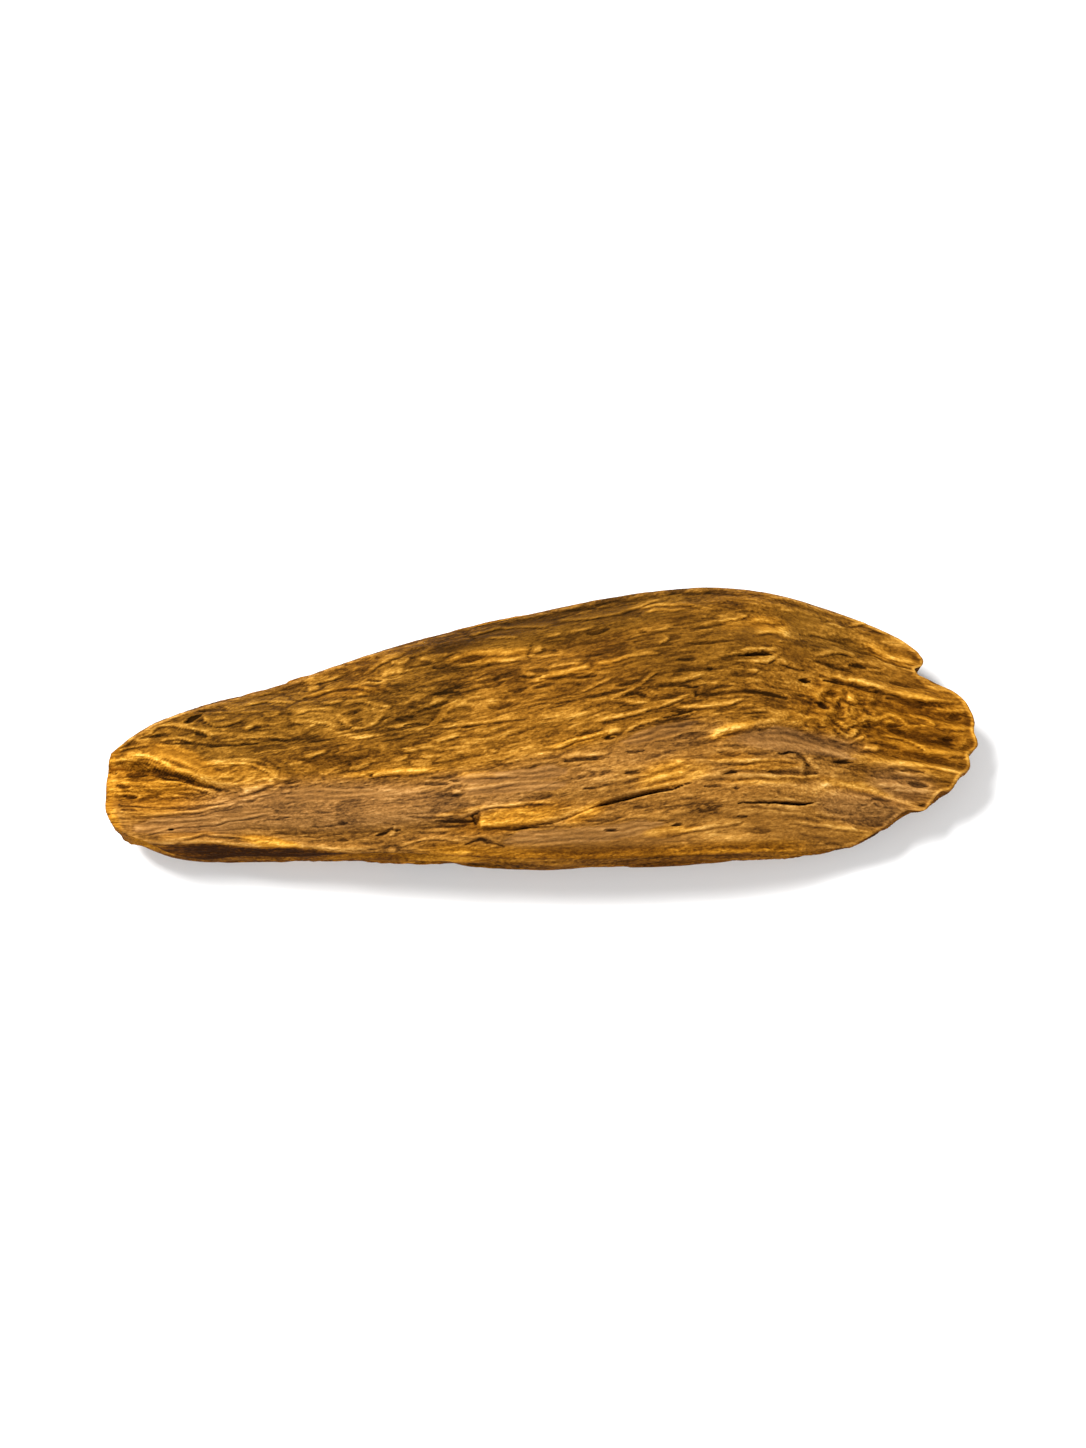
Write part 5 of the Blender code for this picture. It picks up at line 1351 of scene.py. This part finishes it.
def add_wall(shell, border, rim_index, rim_height):
    """Adds the edge wall in rings from the rim down, and gives the last ring's places and indices."""
    x, y = border.T
    tall = rim_height - under_height(x, y)
    foot = smoothed(border, FOOT_SMOOTHING)
    inward = inward_directions(foot)
    outward = -inward
    line = grain_line(x, seen_across(x, y))

    def ring(drop):
        """One ring of the wall, drop below the rim, which is one number for each point."""
        down = drop / tall
        above = np.clip(1 - down / WALL_WIDEST, 0.0, 1.0) ** 2 * WALL_INSET_ABOVE
        below = np.clip((down - WALL_WIDEST) / (1 - WALL_WIDEST), 0.0, 1.0) ** 2 * WALL_INSET_BELOW
        inset = (tall * (above + below))[:, None]
        look = wall_looks(x + outward[:, 0] * drop, line + outward[:, 1] * drop, down, tall)
        look.relief *= 1 - END_WALL_CALM * inward[:, 0] ** 2
        spread = border + (foot - border) * down[:, None] + inward * inset + outward * look.relief[:, None]
        return np.column_stack([spread, rim_height - drop]), look

    # The first ring of the wall is the top's own border, so the wall starts one drop below it
    upper = rim_index
    rim_inset = WALL_INSET_ABOVE * tall
    for depth in RIM_DROPS:
        points, look = ring(np.minimum(depth, RIM_DROP_LIMIT * tall))
        share = depth / RIM_DROPS[-1]
        points[:, :2] -= inward * (rim_inset * (1 - share))[:, None] * RIM_TUCK
        index = shell.add_points(points, look)
        shell.add_band(upper, index)
        upper = index
    last_drop = np.minimum(RIM_DROPS[-1], RIM_DROP_LIMIT * tall)
    for row in range(1, WALL_ROWS + 1):
        points, look = ring(last_drop + (tall - last_drop) * row / WALL_ROWS)
        points = points[::2]
        look.change_all(lambda values: values[::2])
        index = shell.add_points(points, look)
        if row == 1:
            shell.add_halving_band(upper, index)
        else:
            shell.add_band(upper, index)
        upper = index
    return points[:, :2], upper


def add_underside(shell, border, border_index):
    """Adds the underside inside the wall's last ring, whose points it shares."""
    columns, rows = CELLS_ALONG // 2, CELLS_ACROSS // 2
    inner = fill_patch(border, columns, rows)[1:-1, 1:-1].reshape(-1, 2)
    look = under_looks(inner[:, 0], inner[:, 1], gap_to_border(inner, border))
    lift = under_height(inner[:, 0], inner[:, 1]) + look.relief
    index = np.zeros((columns + 1, rows + 1), int)
    edge = grid_rim(columns, rows)
    index[edge[:, 0], edge[:, 1]] = border_index
    index[1:-1, 1:-1] = shell.add_points(np.column_stack([inner, lift]), look).reshape(columns - 1, rows - 1)
    shell.add_grid(index, False)


def build_shell():
    """The whole closed surface, in millimetres, with its looks."""
    border = outline_border(outline_sides())
    plan = fill_patch(border, CELLS_ALONG, CELLS_ACROSS)
    gap = gap_to_border(plan.reshape(-1, 2), border).reshape(plan.shape[:2])
    height, look = top_surface(plan[:, :, 0], plan[:, :, 1], gap)
    shell = Shell()
    top_points = np.dstack([plan, height]).reshape(-1, 3)
    top = shell.add_points(top_points, look).reshape(height.shape)
    shell.add_grid(top, True)

    rim = grid_rim(CELLS_ALONG, CELLS_ACROSS)
    rim_index = top[rim[:, 0], rim[:, 1]]
    foot_border, foot_index = add_wall(shell, border, rim_index, height.ravel()[rim_index])
    add_underside(shell, foot_border, foot_index)
    return shell


def make_chip():
    """The chip as one mesh object, with its looks as attributes."""
    shell = build_shell()
    points = np.concatenate(shell.points)
    mesh = bpy.data.meshes.new("agarwood_chip")
    mesh.from_pydata((points * MM).tolist(), [], shell.faces)
    looks = {name: np.concatenate(parts) for name, parts in shell.looks.items()}
    x, y, z = points.T
    line = y - profile(GRAIN_CLIMB, x)
    # shade holds the relief's painted shading and hollows with the strands' tone, and mark holds light and
    # dark with their painted highlights and shade
    vectors = {
        "grain": np.column_stack([x, line, z]),
        "shade": np.column_stack([looks["cavity"], looks["hollow"], looks["tone"]]),
        "mark": np.column_stack([looks["light"], looks["dark"], looks["orange"]]),
        "tint": np.column_stack([looks["mauve"], looks["olive"], looks["calm"]]),
    }
    for name, values in vectors.items():
        layer = mesh.attributes.new(name, "FLOAT_VECTOR", "POINT")
        layer.data.foreach_set("vector", values.astype(np.float32).ravel())
    mesh.shade_smooth()
    chip = bpy.data.objects.new("agarwood_chip", mesh)
    bpy.context.scene.collection.objects.link(chip)
    return chip


class Nodes:
    """Short calls that add and link shader nodes in one material."""

    def __init__(self, material):
        material.use_nodes = True
        self.tree = material.node_tree
        self.shader = self.tree.nodes["Principled BSDF"]

    def link(self, value, socket):
        """Sets a socket to a number or colour, or links another socket to it."""
        if isinstance(value, bpy.types.NodeSocket):
            self.tree.links.new(value, socket)
        else:
            socket.default_value = value

    def math(self, operation, *values):
        """The result of a named operation on one to three values."""
        node = self.tree.nodes.new("ShaderNodeMath")
        node.operation = operation
        for value, socket in zip(values, node.inputs):
            self.link(value, socket)
        return node.outputs[0]

    def weighted(self, total, *parts):
        """A total plus each part times its weight."""
        for part, weight in parts:
            total = self.math("MULTIPLY_ADD", part, weight, total)
        return total

    def clamp(self, value):
        """The value, kept from 0 to 1."""
        node = self.tree.nodes.new("ShaderNodeClamp")
        self.link(value, node.inputs["Value"])
        return node.outputs[0]

    def attribute(self, name):
        """A vector attribute of the mesh, and its three numbers."""
        node = self.tree.nodes.new("ShaderNodeAttribute")
        node.attribute_name = name
        parts = self.tree.nodes.new("ShaderNodeSeparateXYZ")
        self.tree.links.new(node.outputs["Vector"], parts.inputs[0])
        return node.outputs["Vector"], list(parts.outputs)

    def noise(self, vector, kind):
        """One of the named noises over the vector, from about -1 to 1."""
        scale, detail, roughness, distortion = kind
        stretched = self.tree.nodes.new("ShaderNodeVectorMath")
        stretched.operation = "MULTIPLY"
        self.link(vector, stretched.inputs[0])
        self.link(scale, stretched.inputs[1])
        node = self.tree.nodes.new("ShaderNodeTexNoise")
        self.link(stretched.outputs[0], node.inputs["Vector"])
        self.link(1.0, node.inputs["Scale"])
        self.link(detail, node.inputs["Detail"])
        self.link(roughness, node.inputs["Roughness"])
        self.link(distortion, node.inputs["Distortion"])
        return self.math("MULTIPLY_ADD", node.outputs["Fac"], 4.0, -2.0)

    def islands(self, noise, sharpness):
        """Plateaus with narrow valleys between them, from noise."""
        return self.math("MINIMUM", self.math("MULTIPLY", self.math("ABSOLUTE", noise), sharpness), 1.0)

    def mix(self, share, first, second):
        """The first colour, with a share of the second in it."""
        node = self.tree.nodes.new("ShaderNodeMix")
        node.data_type = "RGBA"
        colours = [socket for socket in node.inputs if socket.type == "RGBA"]
        self.link(share, node.inputs["Factor"])
        self.link(first, colours[0])
        self.link(second, colours[1])
        return next(socket for socket in node.outputs if socket.type == "RGBA")

    def colour_ramp(self, value, colours):
        """The screen colours at TONE_PLACES, blended over a value from 0 to 1."""
        node = self.tree.nodes.new("ShaderNodeValToRGB")
        elements = node.color_ramp.elements
        while len(elements) < len(TONE_PLACES):
            elements.new(0.5)
        for element, place, colour in zip(elements, TONE_PLACES, colours):
            element.position = place
            element.color = srgb(*colour)
        self.tree.links.new(value, node.inputs[0])
        return node.outputs[0]


def srgb(red, green, blue):
    """A linear colour from 0 to 255 screen values."""
    screen = np.array([red, green, blue]) / 255
    linear = np.where(screen > 0.04045, ((screen + 0.055) / 1.055) ** 2.4, screen / 12.92)
    return (*linear.tolist(), 1.0)


def wood_material():
    """Resin-dark wood under golden strands, tinted by zone, with painted light and shade, and fine fibres in
    colour, gloss and bump.
    """
    material = bpy.data.materials.new("agarwood")
    nodes = Nodes(material)
    grain, _ = nodes.attribute("grain")
    _, (cavity, hollow, tone) = nodes.attribute("shade")
    _, (light, dark, orange) = nodes.attribute("mark")
    _, (mauve, olive, calm) = nodes.attribute("tint")

    fibre = nodes.islands(nodes.noise(grain, FIBRE_NOISE), 1.5)
    hair = nodes.islands(nodes.noise(grain, HAIR_NOISE), 1.2)
    mottle, broad = nodes.noise(grain, MOTTLE_NOISE), nodes.noise(grain, BROAD_NOISE)

    # Lightness of the wood, from the dark gaps between strands to the pale tops, with the relief's painted
    # shading in it
    rough = nodes.weighted(1.0, (calm, -0.75))
    strands = nodes.weighted(-0.085, (fibre, 0.14), (hair, 0.14), (mottle, 0.15))
    surface = ((cavity, 0.13), (strands, rough), (hollow, 0.07), (tone, 0.08), (broad, 0.06))
    # The light and dark marks hold painted highlights on the rims and painted shade on the front face, in
    # cuts and slits and at splinter feet, beside the wood's own pale and dark
    marks = ((light, 0.21), (olive, -0.12), (dark, -0.34))
    value = nodes.clamp(nodes.weighted(0.375, *surface, *marks))

    colour, dull, tan, deep = (nodes.colour_ramp(value, colours) for colours in (GOLDEN, DULL, TAN, DEEP))
    for share, tint in ((olive, dull), (mauve, tan), (orange, deep)):
        colour = nodes.mix(nodes.clamp(share), colour, tint)
    nodes.link(colour, nodes.shader.inputs["Base Color"])
    nodes.link(nodes.weighted(0.66, (value, -0.12), (mottle, 0.06)), nodes.shader.inputs["Roughness"])
    nodes.link(SHEEN, nodes.shader.inputs["Specular IOR Level"])

    bump = nodes.tree.nodes.new("ShaderNodeBump")
    nodes.link(1.0, bump.inputs["Strength"])
    nodes.link(BUMP_DEPTH * MM, bump.inputs["Distance"])
    nodes.link(nodes.weighted(fibre, (hair, 0.5), (mottle, 0.2)), bump.inputs["Height"])
    nodes.link(bump.outputs[0], nodes.shader.inputs["Normal"])
    return material


def floor_material():
    """Plain matt white."""
    material = bpy.data.materials.new("floor")
    nodes = Nodes(material)
    nodes.link(FLOOR_WHITE, nodes.shader.inputs["Base Color"])
    nodes.link(FLOOR_ROUGHNESS, nodes.shader.inputs["Roughness"])
    nodes.link(0.0, nodes.shader.inputs["Specular IOR Level"])
    return material


def make_floor():
    """A level floor, large enough to fill every view."""
    half = FLOOR_HALF
    corners = [(-half, -half, 0), (half, -half, 0), (half, half, 0), (-half, half, 0)]
    mesh = bpy.data.meshes.new("floor")
    mesh.from_pydata(corners, [], [(0, 1, 2, 3)])
    mesh.materials.append(floor_material())
    floor = bpy.data.objects.new("floor", mesh)
    floor.location.z = -FLOOR_DROP
    bpy.context.scene.collection.objects.link(floor)


def aim(thing, place, target):
    """Puts a light or camera at place and turns it to target."""
    thing.location = place
    thing.rotation_mode = "QUATERNION"
    thing.rotation_quaternion = (Vector(target) - Vector(place)).to_track_quat("-Z", "Y")


def make_light(name, place, size, power):
    """A square soft light that faces the chip."""
    data = bpy.data.lights.new(name, "AREA")
    data.shape = "SQUARE"
    data.size = size
    data.energy = power
    light = bpy.data.objects.new(name, data)
    bpy.context.scene.collection.objects.link(light)
    aim(light, place, (0.0, 0.0, 0.0))


def make_lights():
    """Soft light from the upper left, a weak fill and an even white surround."""
    make_light("key", *KEY_LIGHT)
    make_light("fill", *FILL_LIGHT)
    world = bpy.data.worlds.new("studio")
    bpy.context.scene.world = world
    world.use_nodes = True
    background = world.node_tree.nodes["Background"]
    background.inputs["Color"].default_value = WHITE
    background.inputs["Strength"].default_value = SURROUND_STRENGTH


def make_camera():
    """A long lens that looks down at the chip from the photograph's side and angle."""
    data = bpy.data.cameras.new("camera")
    data.sensor_fit = "HORIZONTAL"
    data.sensor_width = SENSOR_MM
    data.lens = LENS_MM
    data.clip_start, data.clip_end = CLIP_START, CLIP_END
    camera = bpy.data.objects.new("camera", data)
    bpy.context.scene.collection.objects.link(camera)
    target = Vector((0.0, 0.0, TARGET_HEIGHT))
    away = Vector((0.0, -np.cos(VIEW_RISE), np.sin(VIEW_RISE)))
    aim(camera, target + away * CAMERA_DISTANCE, target)
    bpy.context.scene.camera = camera


chip = make_chip()
chip.data.materials.append(wood_material())
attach(chip, "root")
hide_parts("agarwood_piece")
make_floor()
make_lights()
make_camera()
bpy.context.scene.view_settings.view_transform = "Standard"
